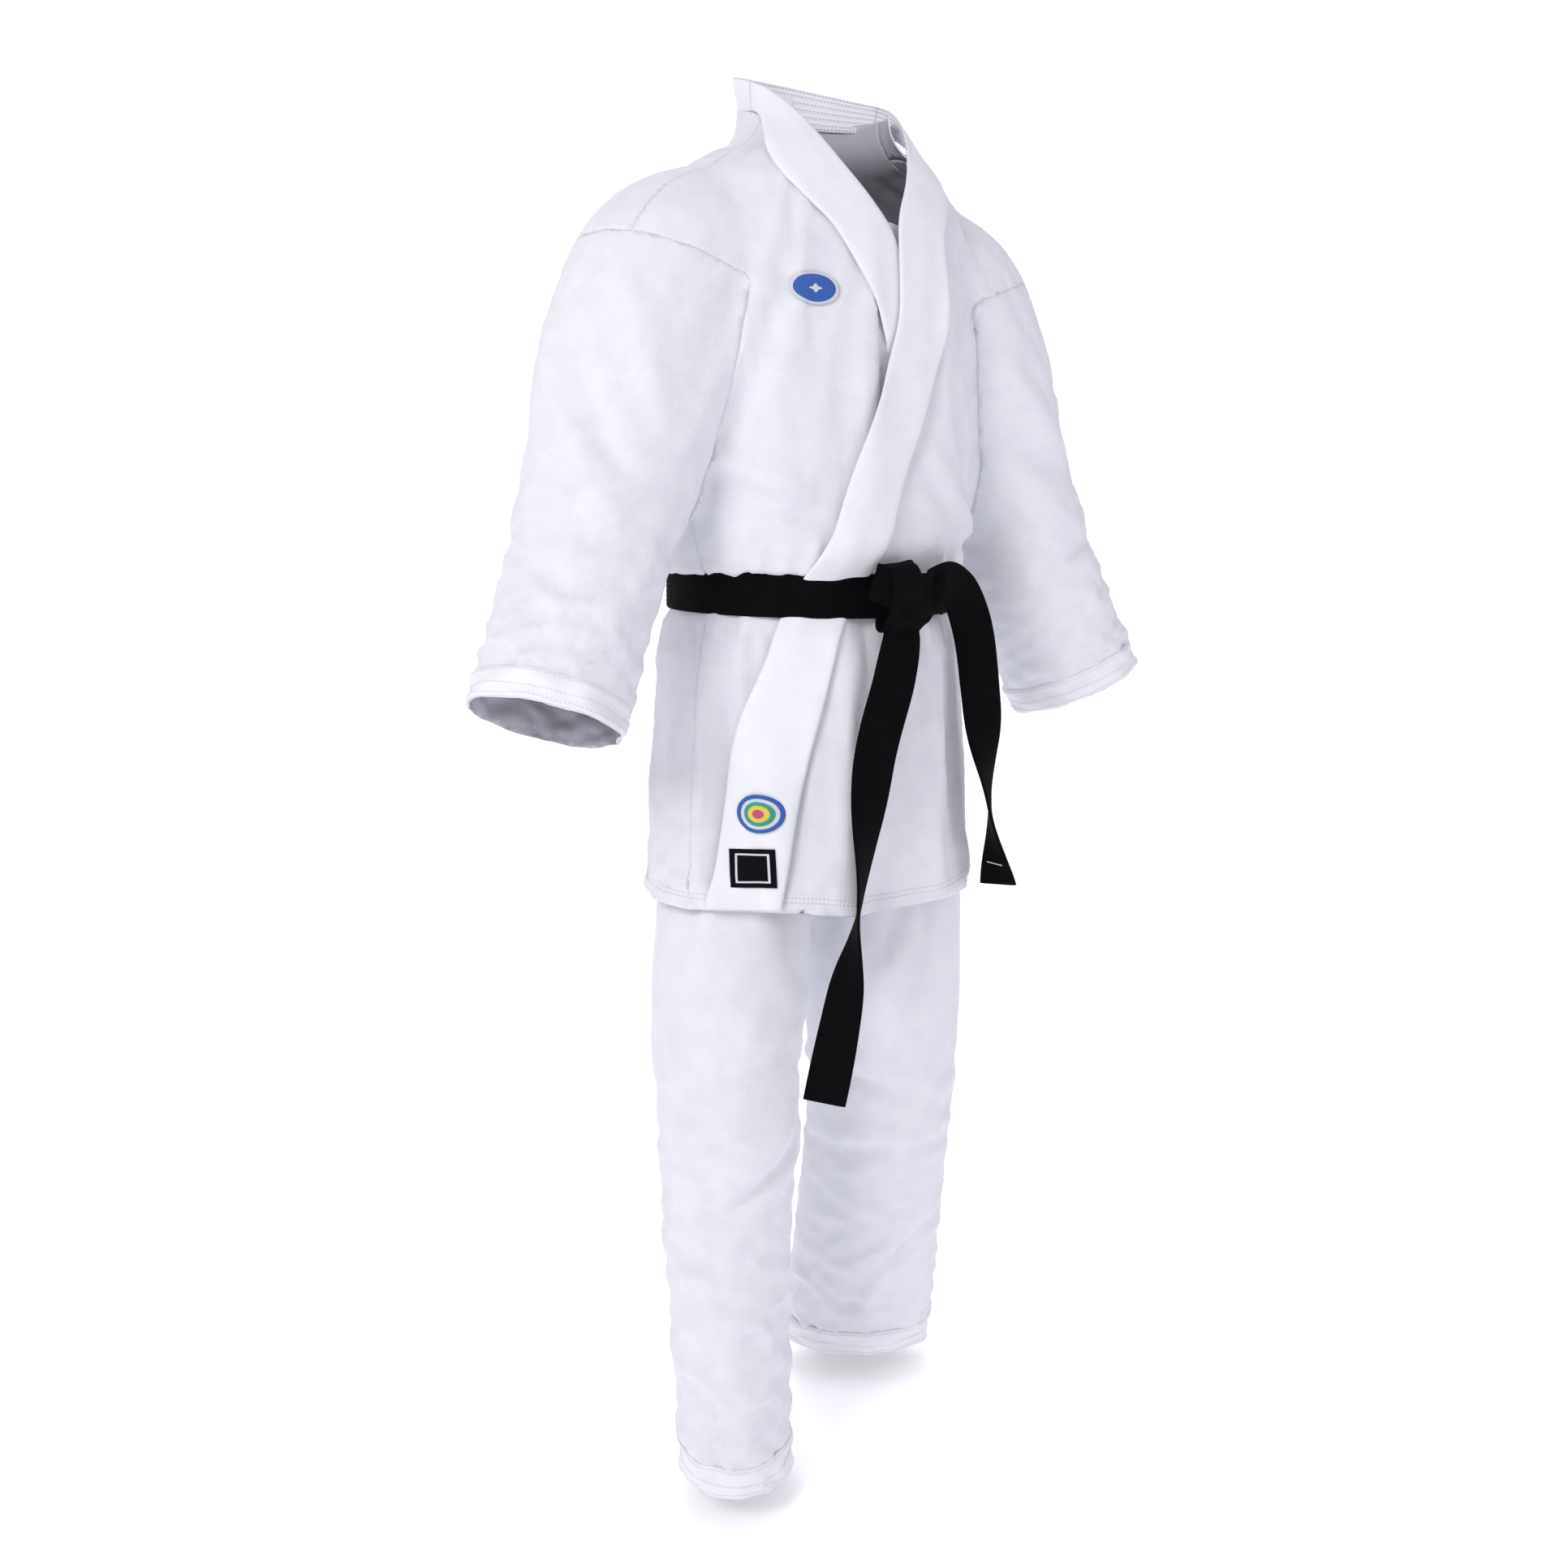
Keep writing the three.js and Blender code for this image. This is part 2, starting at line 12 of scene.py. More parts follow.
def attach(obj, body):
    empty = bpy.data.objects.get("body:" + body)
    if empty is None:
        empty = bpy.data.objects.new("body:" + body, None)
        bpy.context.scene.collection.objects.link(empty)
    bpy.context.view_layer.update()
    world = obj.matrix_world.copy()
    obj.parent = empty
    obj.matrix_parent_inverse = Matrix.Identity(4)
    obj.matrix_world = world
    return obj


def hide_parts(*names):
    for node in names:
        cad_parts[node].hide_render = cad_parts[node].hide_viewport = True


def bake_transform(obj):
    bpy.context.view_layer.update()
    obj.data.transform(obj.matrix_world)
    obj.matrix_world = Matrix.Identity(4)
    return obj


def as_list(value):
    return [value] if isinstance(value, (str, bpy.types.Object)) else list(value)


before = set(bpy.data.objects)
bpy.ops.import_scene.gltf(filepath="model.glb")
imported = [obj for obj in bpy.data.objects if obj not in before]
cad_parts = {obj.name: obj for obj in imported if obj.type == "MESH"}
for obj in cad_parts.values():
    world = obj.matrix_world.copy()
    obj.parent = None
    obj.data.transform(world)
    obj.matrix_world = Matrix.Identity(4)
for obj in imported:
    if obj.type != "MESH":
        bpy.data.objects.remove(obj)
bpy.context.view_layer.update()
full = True

# The wearer's left is +X, the front is -Y, and the origin is the middle of the neck.
garment = {"waist": -0.484, "lapelWidth": 0.060, "cloth": 0.0016, "trouserHem": -1.440, "squareness": 2.3,
           "voxel": 0.0068}


# A smooth curve through (key, value) rows that never overshoots them.
def curve(rows):
    keys = np.array([r[0] for r in rows], float)
    vals = np.array([r[1] for r in rows], float)
    secant = np.diff(vals) / np.diff(keys)
    slope = np.zeros(len(keys))
    same = secant[:-1] * secant[1:] > 0
    slope[1:-1][same] = 2 * (secant[:-1] * secant[1:])[same] / (secant[:-1] + secant[1:])[same]

    def at(key):
        k = np.clip(np.asarray(key, float), keys[0], keys[-1])
        i = np.clip(np.searchsorted(keys, k, side="right") - 1, 0, len(keys) - 2)
        w = keys[i + 1] - keys[i]
        t = (k - keys[i]) / w
        return (vals[i] * (1 + 2 * t) * (1 - t) ** 2 + slope[i] * w * t * (1 - t) ** 2
                + vals[i + 1] * t * t * (3 - 2 * t) + slope[i + 1] * w * t * t * (t - 1))
    return at


def through(keys, columns, t):
    return np.stack([curve(list(zip(keys, c)))(t) for c in np.asarray(columns, float).T], -1)


def ease(x, a, b):
    t = np.clip((np.asarray(x, float) - a) / (b - a), 0, 1)
    return t * t * (3 - 2 * t)


def meshObject(name, verts, faces, uvs=None):
    me = bpy.data.meshes.new(name)
    me.from_pydata([tuple(map(float, v)) for v in verts], [], [tuple(map(int, f)) for f in faces])
    me.update()
    ob = bpy.data.objects.new(name, me)
    bpy.context.scene.collection.objects.link(ob)
    if uvs is not None:
        layer = me.uv_layers.new(name="cloth")
        idx = np.zeros(len(me.loops), int)
        me.loops.foreach_get("vertex_index", idx)
        layer.data.foreach_set("uv", np.asarray(uvs, float)[idx].ravel())
    return ob


def gridFaces(columns, rows, wrap=False):
    across = columns if wrap else columns + 1
    i, j = np.meshgrid(np.arange(columns), np.arange(rows), indexing="ij")
    a = j * across + i
    b = j * across + (i + 1) % across
    return np.stack([a, b, b + across, a + across], -1).reshape(-1, 4)


def coords(ob):
    co = np.zeros(len(ob.data.vertices) * 3)
    ob.data.vertices.foreach_get("co", co)
    return co.reshape(-1, 3)


def setCoords(ob, co):
    ob.data.vertices.foreach_set("co", np.ascontiguousarray(co, float).ravel())
    ob.data.update()


def normals(ob):
    n = np.zeros(len(ob.data.vertices) * 3)
    ob.data.vertices.foreach_get("normal", n)
    return n.reshape(-1, 3)


def applyModifiers(ob):
    dg = bpy.context.evaluated_depsgraph_get()
    me = bpy.data.meshes.new_from_object(ob.evaluated_get(dg))
    old = ob.data
    ob.modifiers.clear()
    ob.data = me
    me.name = ob.name
    bpy.data.meshes.remove(old)
    return ob


def smoothShade(ob):
    ob.data.polygons.foreach_set("use_smooth", [True] * len(ob.data.polygons))
    return ob


@contextmanager
def editing(ob):
    bm = bmesh.new()
    bm.from_mesh(ob.data)
    yield bm
    bm.to_mesh(ob.data)
    bm.free()


# Cuts the faces that the chooser picks along a plane, and drops the outer side unless both sides are kept.
def cutAlong(ob, point, outward, chooser=lambda q: True, keepBoth=False):
    with editing(ob) as bm:
        picked = [f for f in bm.faces if chooser(f.calc_center_median())]
        verts, edges = {v for f in picked for v in f.verts}, {e for f in picked for e in f.edges}
        geom = list(verts) + list(edges) + picked
        bmesh.ops.bisect_plane(bm, geom=geom, dist=1e-5 if keepBoth else 1e-6, plane_co=point,
                               plane_no=outward,
                               clear_outer=not keepBoth)


def unit(*v):
    return np.array(v) / np.linalg.norm(v)


def eased(p):
    p[1:-1] = 0.5 * p[1:-1] + 0.25 * (p[:-2] + p[2:])
    return p


# The filled forms that the cloth is laid on: half width and half depth of the torso by height.
torsoWidth = curve([(-0.86, .206), (-0.82, .202), (-0.70, .191), (-0.56, .176), (-0.515, .164),
                    (-0.484, .156), (-0.455, .166), (-0.42, .179), (-0.36, .186), (-0.30, .188),
                    (-0.20, .188), (-0.12, .184), (-0.075, .168), (-0.05, .135), (-0.03, .096),
                    (-0.01, .081), (0.02, .0775), (0.06, .078)])
torsoDepth = curve([(-0.86, .143), (-0.82, .141), (-0.70, .135), (-0.56, .124), (-0.515, .118),
                    (-0.484, .114), (-0.455, .124), (-0.42, .134), (-0.36, .134), (-0.30, .132),
                    (-0.20, .126), (-0.12, .117), (-0.075, .108), (-0.05, .099), (-0.03, .086),
                    (-0.01, .0775), (0.02, .0755), (0.06, .076)])
skirtShape = [(-6, .199), (29, .184), (60, .153), (90, .140), (118, .150), (148, .182), (176, .201),
              (192, .197), (203, .171), (214, .1535), (229, .1455), (241, .151), (248, .1555), (256, .1475),
              (270, .1405), (287, .1435), (301, .1535), (328, .179), (354, .199)]


def skirtRadius(theta):
    deg = np.degrees(theta) % 360
    return np.interp(deg, [d % 360 for d, r in skirtShape[1:]], [r for d, r in skirtShape[1:]], period=360)


def squareRound(theta, a, b):
    n = garment["squareness"]
    return (np.abs(np.cos(theta) / a) ** n + np.abs(np.sin(theta) / b) ** n) ** (-1 / n)


def torsoRadius(theta, z):
    a, b = torsoWidth(z), torsoDepth(z)
    plain = squareRound(theta, a, b)
    wide = skirtRadius(theta) * a / torsoWidth(-0.82)
    m = ease(-np.asarray(z, float), 0.52, 0.66)
    return plain * (1 - m) + wide * m


def torsoPoint(theta, z):
    r = torsoRadius(theta, z)
    return np.stack([r * np.cos(theta), r * np.sin(theta), np.asarray(z, float) + 0 * theta], -1)


def ringSolid(rings):
    count, steps, _ = rings.shape
    verts = np.vstack([rings.reshape(-1, 3), rings[0].mean(0), rings[-1].mean(0)])
    faces = [tuple(f) for f in gridFaces(steps, count - 1, True)]
    low, high = count * steps, count * steps + 1
    for i in range(steps):
        j = (i + 1) % steps
        faces.append((j, i, low))
        faces.append(((count - 1) * steps + i, (count - 1) * steps + j, high))
    return verts, faces


def torsoRings(low, high, count=90, steps=120):
    theta = np.linspace(0, 2 * np.pi, steps, endpoint=False)
    return np.stack([torsoPoint(theta, np.full(steps, z)) for z in np.linspace(low, high, count)])


# Stations of a sleeve: middle (x, y, z) and half sizes across and in depth, for the wearer's left.
sleeveStations = [(.060, .000, -.130, .072, .078), (.122, .000, -.141, .086, .090),
                  (.178, .000, -.171, .099, .096), (.214, -.003, -.240, .100, .097),
                  (.250, -.010, -.340, .088, .090), (.285, -.022, -.430, .077, .085),
                  (.322, -.038, -.520, .074, .082), (.362, -.053, -.612, .0725, .080),
                  (.395, -.066, -.690, .0715, .078)]
cuffMiddle = np.array([.360, -.052, -.606])
cuffAxis = unit(.39, -.16, -.91)


def sleeveRings(side, steps=64, count=60):
    rows = np.array(sleeveStations)
    t = np.linspace(0, len(rows) - 1, count)
    shape = through(range(len(rows)), rows, t)
    mid, wide, deep = shape[:, :3], shape[:, 3:4], shape[:, 4:]
    along = np.gradient(mid, axis=0)
    along /= np.linalg.norm(along, axis=1)[:, None]
    across = np.cross(along, np.array([0, 1.0, 0]))
    across /= np.linalg.norm(across, axis=1)[:, None]
    depth = np.cross(across, along)
    phi = np.linspace(0, 2 * np.pi, steps, endpoint=False)
    ring = (mid[:, None] + across[:, None] * (wide * np.cos(phi))[..., None]
            + depth[:, None] * (deep * np.sin(phi))[..., None])
    ring[..., 0] *= side
    return ring


# Stations of a leg: z, middle x and y, half sizes along its long and short axes, and the turn-out in radians.
legStations = {
    -1: [(-.60, .086, .002, .084, .090, 0), (-.74, .092, .004, .086, .084, .05),
         (-.82, .101, .004, .088, .082, .15), (-.92, .113, -.004, .086, .084, .35),
         (-1.02, .124, -.012, .083, .076, .52), (-1.07, .127, -.022, .083, .076, .60),
         (-1.13, .128, -.018, .083, .072, .66), (-1.24, .131, -.026, .085, .067, .78),
         (-1.36, .134, -.036, .088, .062, .88), (-1.50, .138, -.050, .091, .060, .95)],
    1: [(-.60, .086, -.002, .084, .090, 0), (-.74, .092, -.004, .088, .084, .05),
        (-.82, .104, .000, .093, .083, .12), (-.92, .118, .018, .093, .088, .28),
        (-1.02, .131, .030, .090, .080, .42), (-1.07, .135, .036, .089, .078, .48),
        (-1.13, .138, .046, .088, .076, .52), (-1.24, .143, .066, .089, .071, .58),
        (-1.36, .148, .088, .091, .067, .62), (-1.50, .152, .112, .092, .064, .66)],
}


def legRings(side, steps=72, count=70):
    rows = np.array(legStations[side])
    z = np.linspace(-.60, -1.50, count)
    order = rows[::-1]
    x, y, long, short, turn = through(order[:, 0], order[:, 1:], z).T
    phi = np.linspace(0, 2 * np.pi, steps, endpoint=False)
    px = long[:, None] * np.cos(phi)
    py = short[:, None] * np.sin(phi)
    c, s = np.cos(turn)[:, None], -np.sin(turn)[:, None]
    gx = np.maximum(x[:, None] + c * px - s * py, 0.0022)
    gy = y[:, None] + s * px + c * py
    return np.stack([side * gx, gy, np.repeat(z[:, None], steps, 1)], -1)[::-1 if side > 0 else 1]


def pelvisRings(count=24, steps=96):
    theta = np.linspace(0, 2 * np.pi, steps, endpoint=False)
    rings = []
    for z in np.linspace(-.795, -.47, count):
        shrink = 0.011 + 0.012 * float(ease(-z, .50, .60))
        a, b = float(torsoWidth(z)) - shrink, float(torsoDepth(z)) - shrink
        b *= 1 - 0.13 * float(ease(-z, .55, .78))
        r = squareRound(theta, min(a, .174), b)
        rings.append(np.stack([r * np.cos(theta), r * np.sin(theta), np.full(steps, z)], -1))
    return np.stack(rings)


def formObject(name, parts, voxel):
    verts, faces, base = [], [], 0
    for rings in parts:
        v, f = ringSolid(rings)
        bm = bmesh.new()
        me = bpy.data.meshes.new("part")
        me.from_pydata([tuple(p) for p in v], [], f)
        bm.from_mesh(me)
        bmesh.ops.recalc_face_normals(bm, faces=bm.faces)
        verts += [tuple(p.co) for p in bm.verts]
        faces += [tuple(q.index + base for q in p.verts) for p in bm.faces]
        base = len(verts)
        bm.free()
        bpy.data.meshes.remove(me)
    ob = meshObject(name, verts, faces)
    mod = ob.modifiers.new("remesh", "REMESH")
    mod.mode = "VOXEL"
    mod.voxel_size = voxel
    soft = ob.modifiers.new("soft", "SMOOTH")
    soft.factor = 0.5
    soft.iterations = 5
    return applyModifiers(ob)


sleeves = {side: sleeveRings(side) for side in (-1, 1)}
legs = {side: legRings(side) for side in (-1, 1)}
jacketForm = formObject("jacketForm", [torsoRings(-0.86, 0.050), sleeves[-1], sleeves[1]], garment["voxel"])
trouserForm = formObject("trouserForm", [pelvisRings(), legs[-1], legs[1]], garment["voxel"])
legs[1] = legs[1][::-1]
print("forms filled:", len(jacketForm.data.vertices), "and", len(trouserForm.data.vertices), "points")


# Places on the forms, named by an angle in degrees and a height.
def onTorso(deg, z):
    return torsoPoint(np.radians(np.array([float(deg)])), np.array([float(z)]))[0]


def onTube(rings):
    def place(z, deg):
        steps = rings.shape[1]
        column = rings[:, int(round(deg % 360 / 360 * steps)) % steps]
        order = np.argsort(column[:, 2])
        return np.array([np.interp(z, column[order, 2], column[order, k]) for k in range(3)])
    return place


# A fold is a line on the cloth with a width and a height; a negative height presses it in.
def pressFolds(ob, folds):
    co, nrm = coords(ob), normals(ob)
    move = np.zeros(len(co))
    for points, width, height in folds:
        points = np.array(points)
        t = np.linspace(0, len(points) - 1, 8 * len(points))
        line = through(np.arange(len(points)), points, t)
        near = np.full(len(co), 9.0)
        place = np.zeros(len(co))
        for i in range(len(line) - 1):
            a, b = line[i], line[i + 1]
            ab = b - a
            f = np.clip((co - a) @ ab / (ab @ ab), 0, 1)
            d = np.linalg.norm(co - a - f[:, None] * ab, axis=1)
            closer = d < near
            near[closer] = d[closer]
            place[closer] = ((i + f) / (len(line) - 1))[closer]
        fade = np.clip(np.minimum(place, 1 - place) / 0.22, 0.15, 1)
        move += height * fade * np.exp(-(near / width) ** 2)
    setCoords(ob, co + nrm * np.clip(move, -0.013, 0.012)[:, None])


def foldsOn(place, rows):
    return [([place(*p) for p in points], width, height) for points, width, height in rows]


def gathers(start, stop, count, top, bottom, height, width, lean=0.0):
    folds = []
    for i in range(count):
        deg = start + (stop - start) * (i + 0.5) / count + 3.1 * math.sin(5.3 * i)
        reach = 0.75 + 0.45 * math.sin(2.7 * i + 1.0) ** 2
        low = top + (bottom - top) * reach
        folds.append(([(deg, top), (deg + lean * 0.6, (top + low) / 2), (deg + lean, low)], width,
                      height * (0.7 + 0.5 * math.sin(3.9 * i) ** 2)))
    return foldsOn(onTorso, folds)


jacketFolds = foldsOn(onTorso, [
    ([(188, -.322), (210, -.352), (236, -.380)], .014, .0075),  # roll of cloth over the belt
    ([(188, -.346), (212, -.376), (240, -.402)], .012, -.0065),
    ([(205, -.085), (203, -.174), (196, -.238), (190, -.345), (185, -.405)], .010, -.0085),  # armholes, front
    ([(-25, -.085), (-23, -.174), (-16, -.238), (-10, -.345), (-5, -.405)], .010, -.0085),
    ([(155, -.085), (157, -.174), (164, -.238), (170, -.345), (175, -.405)], .010, -.0070),  # armholes, back
    ([(25, -.085), (23, -.174), (16, -.238), (10, -.345), (5, -.405)], .010, -.0070),
    ([(214, -.085), (213, -.16), (208, -.235), (200, -.31)], .016, .0050),
    ([(198, -.158), (210, -.164), (222, -.160)], .011, -.0035),
    ([(205, -.215), (224, -.268), (240, -.300)], .020, .0035),
    ([(300, -.150), (312, -.240), (330, -.330)], .018, .0045),
    ([(290, -.330), (312, -.385), (338, -.410)], .014, .0060),
    ([(290, -.355), (312, -.408), (338, -.430)], .011, -.0050),
    ([(60, -.110), (90, -.135), (120, -.110)], .018, -.0040),  # back of the neck
    ([(35, -.200), (60, -.300), (75, -.400)], .022, .0050),
    ([(145, -.200), (122, -.300), (106, -.400)], .022, .0050),
    ([(42, -.360), (70, -.405), (96, -.392)], .013, .0060),
    ([(140, -.370), (118, -.412), (92, -.402)], .013, .0060),
    ([(84, -.52), (86, -.66), (82, -.80)], .016, .0060),  # back of the skirt
    ([(62, -.52), (58, -.66), (54, -.80)], .018, -.0050),
    ([(112, -.52), (116, -.66), (120, -.80)], .018, -.0050),
    ([(140, -.53), (143, -.66), (144, -.80)], .017, .0055),
    ([(36, -.53), (33, -.66), (32, -.80)], .017, .0055),
    ([(262, -.66), (264, -.74), (262, -.81)], .012, -.0045),
    ([(284, -.53), (290, -.65), (298, -.80)], .016, .0045),
    ([(309, -.55), (316, -.67), (322, -.80)], .016, -.0045),
]) + foldsOn(onTube(sleeves[-1]), [
    ([(-.175, 4), (-.235, 342), (-.327, 311), (-.375, 276)], .013, -.0065),
    ([(-.215, 10), (-.285, 346), (-.365, 316), (-.41, 280)], .016, .0055),
    ([(-.150, 330), (-.235, 300), (-.330, 270)], .016, .0040),
    ([(-.440, 350), (-.468, 310), (-.460, 262)], .011, -.0045),
    ([(-.500, 20), (-.530, 335), (-.560, 300)], .016, .0030),
    ([(-.400, 100), (-.430, 60), (-.425, 20)], .013, -.0055),
    ([(-.340, 120), (-.385, 70), (-.400, 30)], .014, .0050),
]) + foldsOn(onTube(sleeves[1]), [
    ([(-.460, 238), (-.440, 275), (-.418, 320)], .010, -.0065),
    ([(-.432, 240), (-.412, 278), (-.392, 325)], .013, .0050),
    ([(-.300, 225), (-.330, 260), (-.345, 300)], .014, -.0050),
    ([(-.180, 235), (-.255, 262), (-.320, 300)], .018, .0045),
    ([(-.520, 240), (-.540, 280), (-.530, 320)], .014, .0035),
    ([(-.400, 100), (-.430, 60), (-.425, 20)], .013, -.0055),
    ([(-.340, 120), (-.385, 70), (-.400, 30)], .014, .0050),
])
# Small gathers above and below the belt: from and to in degrees, how many, top, bottom, height, width, lean.
for gathered in ((196, 246, 7, -.462, -.415, .0042, .0065, 5), (286, 345, 7, -.462, -.412, .0042, .0065, -5),
                 (12, 168, 15, -.462, -.405, .0046, .0075), (12, 168, 13, -.508, -.575, .0044, .0075),
                 (288, 345, 6, -.508, -.570, .0040, .0070, 4), (176, 214, 4, -.508, -.560, .0030, .0070, -3)):
    jacketFolds += gathers(*gathered)

trouserFolds = foldsOn(onTube(legs[-1]), [
    ([(-1.110, 65), (-1.128, 341), (-1.095, 300), (-1.055, 255)], .0105, -.0080),
    ([(-1.080, 65), (-1.098, 341), (-1.062, 300), (-1.022, 258)], .0140, .0060),
    ([(-1.145, 40), (-1.160, 350), (-1.140, 310)], .0120, .0050),
    ([(-1.172, 20), (-1.190, 335), (-1.178, 290)], .0100, -.0050),
    ([(-.90, 300), (-.99, 318), (-1.06, 330)], .0160, .0040),
    ([(-.86, 20), (-.96, 5), (-1.04, 358)], .0180, -.0035),
    ([(-1.24, 345), (-1.33, 338), (-1.43, 342)], .0200, .0040),
    ([(-1.26, 10), (-1.35, 12), (-1.43, 16)], .0160, -.0035),
    ([(-1.05, 170), (-1.085, 130), (-1.075, 90)], .0100, -.0075),
    ([(-1.02, 180), (-1.050, 130), (-1.045, 90)], .0140, .0055),
    ([(-1.12, 190), (-1.140, 150), (-1.130, 100)], .0130, -.0055),
    ([(-.88, 130), (-.95, 150), (-1.00, 175)], .0170, .0055),
]) + foldsOn(onTube(legs[1]), [
    ([(-1.035, 205), (-1.060, 262), (-1.095, 338)], .0105, -.0080),
    ([(-1.008, 205), (-1.030, 262), (-1.062, 338)], .0140, .0055),
    ([(-1.138, 190), (-1.142, 262), (-1.136, 330)], .0095, -.0060),
    ([(-1.112, 190), (-1.118, 262), (-1.112, 330)], .0120, .0050),
    ([(-1.235, 345), (-1.298, 278), (-1.385, 256)], .0110, -.0060),
    ([(-1.205, 340), (-1.270, 285), (-1.360, 270)], .0150, .0050),
    ([(-.88, 250), (-.95, 262), (-1.02, 280)], .0170, .0045),
    ([(-.84, 225), (-.90, 232), (-.97, 235)], .0120, -.0055),
    ([(-1.05, 170), (-1.085, 130), (-1.075, 60)], .0100, -.0075),
    ([(-1.02, 180), (-1.050, 130), (-1.045, 60)], .0140, .0055),
    ([(-1.12, 160), (-1.140, 110), (-1.130, 60)], .0130, -.0055),
    ([(-.88, 130), (-.95, 110), (-1.00, 75)], .0170, .0055),
])
pressFolds(jacketForm, jacketFolds)
pressFolds(trouserForm, trouserFolds)
print("folds pressed")

# The cloth is cut a little large and pulled down over a slightly smaller form, so that it settles in soft
# wrinkles. A coarse copy is simulated, and the finer form takes its movement.
settling = {"cell": 0.0135, "frames": 22, "formInset": 0.0065, "most": 0.012, "weight": 0.7, "mass": 0.20,
            "stretch": 20, "squeeze": 12, "shear": 8, "bend": 0.25, "drag": 2, "ease": -0.060, "pull": -0.9}


def settleCloth(ob, held):
    low = ob.copy()
    low.data = ob.data.copy()
    bpy.context.scene.collection.objects.link(low)
    mod = low.modifiers.new("remesh", "REMESH")
    mod.mode = "VOXEL"
    mod.voxel_size = settling["cell"]
    applyModifiers(low)
    start = coords(low)
    form = low.copy()
    form.data = low.data.copy()
    bpy.context.scene.collection.objects.link(form)
    setCoords(form, start - normals(low) * settling["formInset"])
    form.modifiers.new("solid", "COLLISION")
    form.collision.thickness_outer = 0.002
    group = low.vertex_groups.new(name="held")
    for i in np.nonzero(held(start))[0]:
        group.add([int(i)], 1.0, "REPLACE")
    mod = low.modifiers.new("cloth", "CLOTH")
    s = mod.settings
    for setting, word in (("mass", "mass"), ("tension_stiffness", "stretch"),
                          ("compression_stiffness", "squeeze"),
                          ("shear_stiffness", "shear"), ("bending_stiffness", "bend"),
                          ("air_damping", "drag"),
                          ("shrink_min", "ease"), ("uniform_pressure_force", "pull")):
        setattr(s, setting, settling[word])
    s.quality = 5
    s.use_pressure = True
    s.vertex_group_mass = "held"
    s.effector_weights.gravity = settling["weight"]
    mod.collision_settings.distance_min = 0.002
    mod.collision_settings.use_self_collision = False
    mod.point_cache.frame_end = settling["frames"]
    scene = bpy.context.scene
    for step in range(1, settling["frames"] + 1):
        scene.frame_set(step)
    settled = low.evaluated_get(bpy.context.evaluated_depsgraph_get())
    end = np.zeros(len(start) * 3)
    settled.data.vertices.foreach_get("co", end)
    move = end.reshape(-1, 3) - start
    scene.frame_set(1)
    size = np.linalg.norm(move, axis=1)
    move *= (np.minimum(size, settling["most"]) / np.maximum(size, 1e-9))[:, None]
    tree = KDTree(len(start))
    for i, p in enumerate(start):
        tree.insert(p, i)
    tree.balance()
    co = coords(ob)
    shift = np.zeros(co.shape)
    for k, p in enumerate(co):
        total = 0.0
        for q, i, d in tree.find_n(p, 5):
            w = 1 / (d * d + 1e-5)
            shift[k] += move[i] * w
            total += w
        shift[k] /= total
    setCoords(ob, co + shift)
    bpy.data.objects.remove(low)
    bpy.data.objects.remove(form)
    print("settled", ob.name, "mean move", round(float(size.mean()) * 1000, 2), "mm")


def jacketHeld(p):
    beltLine = np.abs(p[:, 2] + 0.484) < 0.020
    ends = (p[:, 2] > -0.035) | ((p[:, 2] < -0.848) & (np.abs(p[:, 0]) < 0.25))
    return (beltLine & (np.abs(p[:, 0]) < 0.19)) | ends | ((np.abs(p[:, 0]) > 0.30) & (p[:, 2] < -0.66))


if full:
    settleCloth(jacketForm, jacketHeld)
    settleCloth(trouserForm, lambda p: (p[:, 2] > -0.54) | (p[:, 2] < -1.485))


def treeOf(ob):
    return BVHTree.FromPolygons([v.co.copy() for v in ob.data.vertices],
                                [tuple(p.vertices) for p in ob.data.polygons])


torsoTree = treeOf(jacketForm)

# Hem, cuffs, neck and trouser hems are cut level.
hem = {"middle": -0.810, "slope": 0.071}
cutAlong(jacketForm, (0, 0, hem["middle"]), np.array([0, hem["slope"], -1.0]) / math.hypot(hem["slope"], 1))
cutAlong(jacketForm, (0, 0.074, 0.021), (0, -0.10, 1.0))
cutAlong(trouserForm, (0, 0, garment["trouserHem"]), (0, 0, -1))
cutAlong(trouserForm, (0, 0, -0.5075), (0, 0, 1))
for side in (-1, 1):
    mirror = np.array([side, 1, 1])
    cutAlong(jacketForm, cuffMiddle * mirror, cuffAxis * mirror, lambda q: side * q.x > 0.24)

leftEdge = curve([(-.83, -.175), (-.82, -.172), (-.70, -.152), (-.53, -.117), (-.453, -.079), (-.374, -.054),
                  (-.26, -.008), (-.20, .010), (-.12, .014), (-.06, .044), (.005, .068), (.03, .072)])
rightEdge = curve([(-.83, .110), (-.45, .096), (-.30, .076), (-.20, .048), (-.12, .008), (-.06, -.040),
                   (.005, -.068), (.03, -.072)])


def deleteFaces(ob, chosen):
    with editing(ob) as bm:
        bm.faces.ensure_lookup_table()
        bmesh.ops.delete(bm, geom=[bm.faces[i] for i in np.nonzero(chosen)[0]], context="FACES")


# The belt draws the layers in: none of a lift at the belt, all of it away from there.
def waistPinch(z):
    return 1 - np.exp(-((z + 0.487) / 0.034) ** 4)


def faceCentres(ob):
    c = np.zeros(len(ob.data.polygons) * 3)
    ob.data.polygons.foreach_get("center", c)
    return c.reshape(-1, 3)


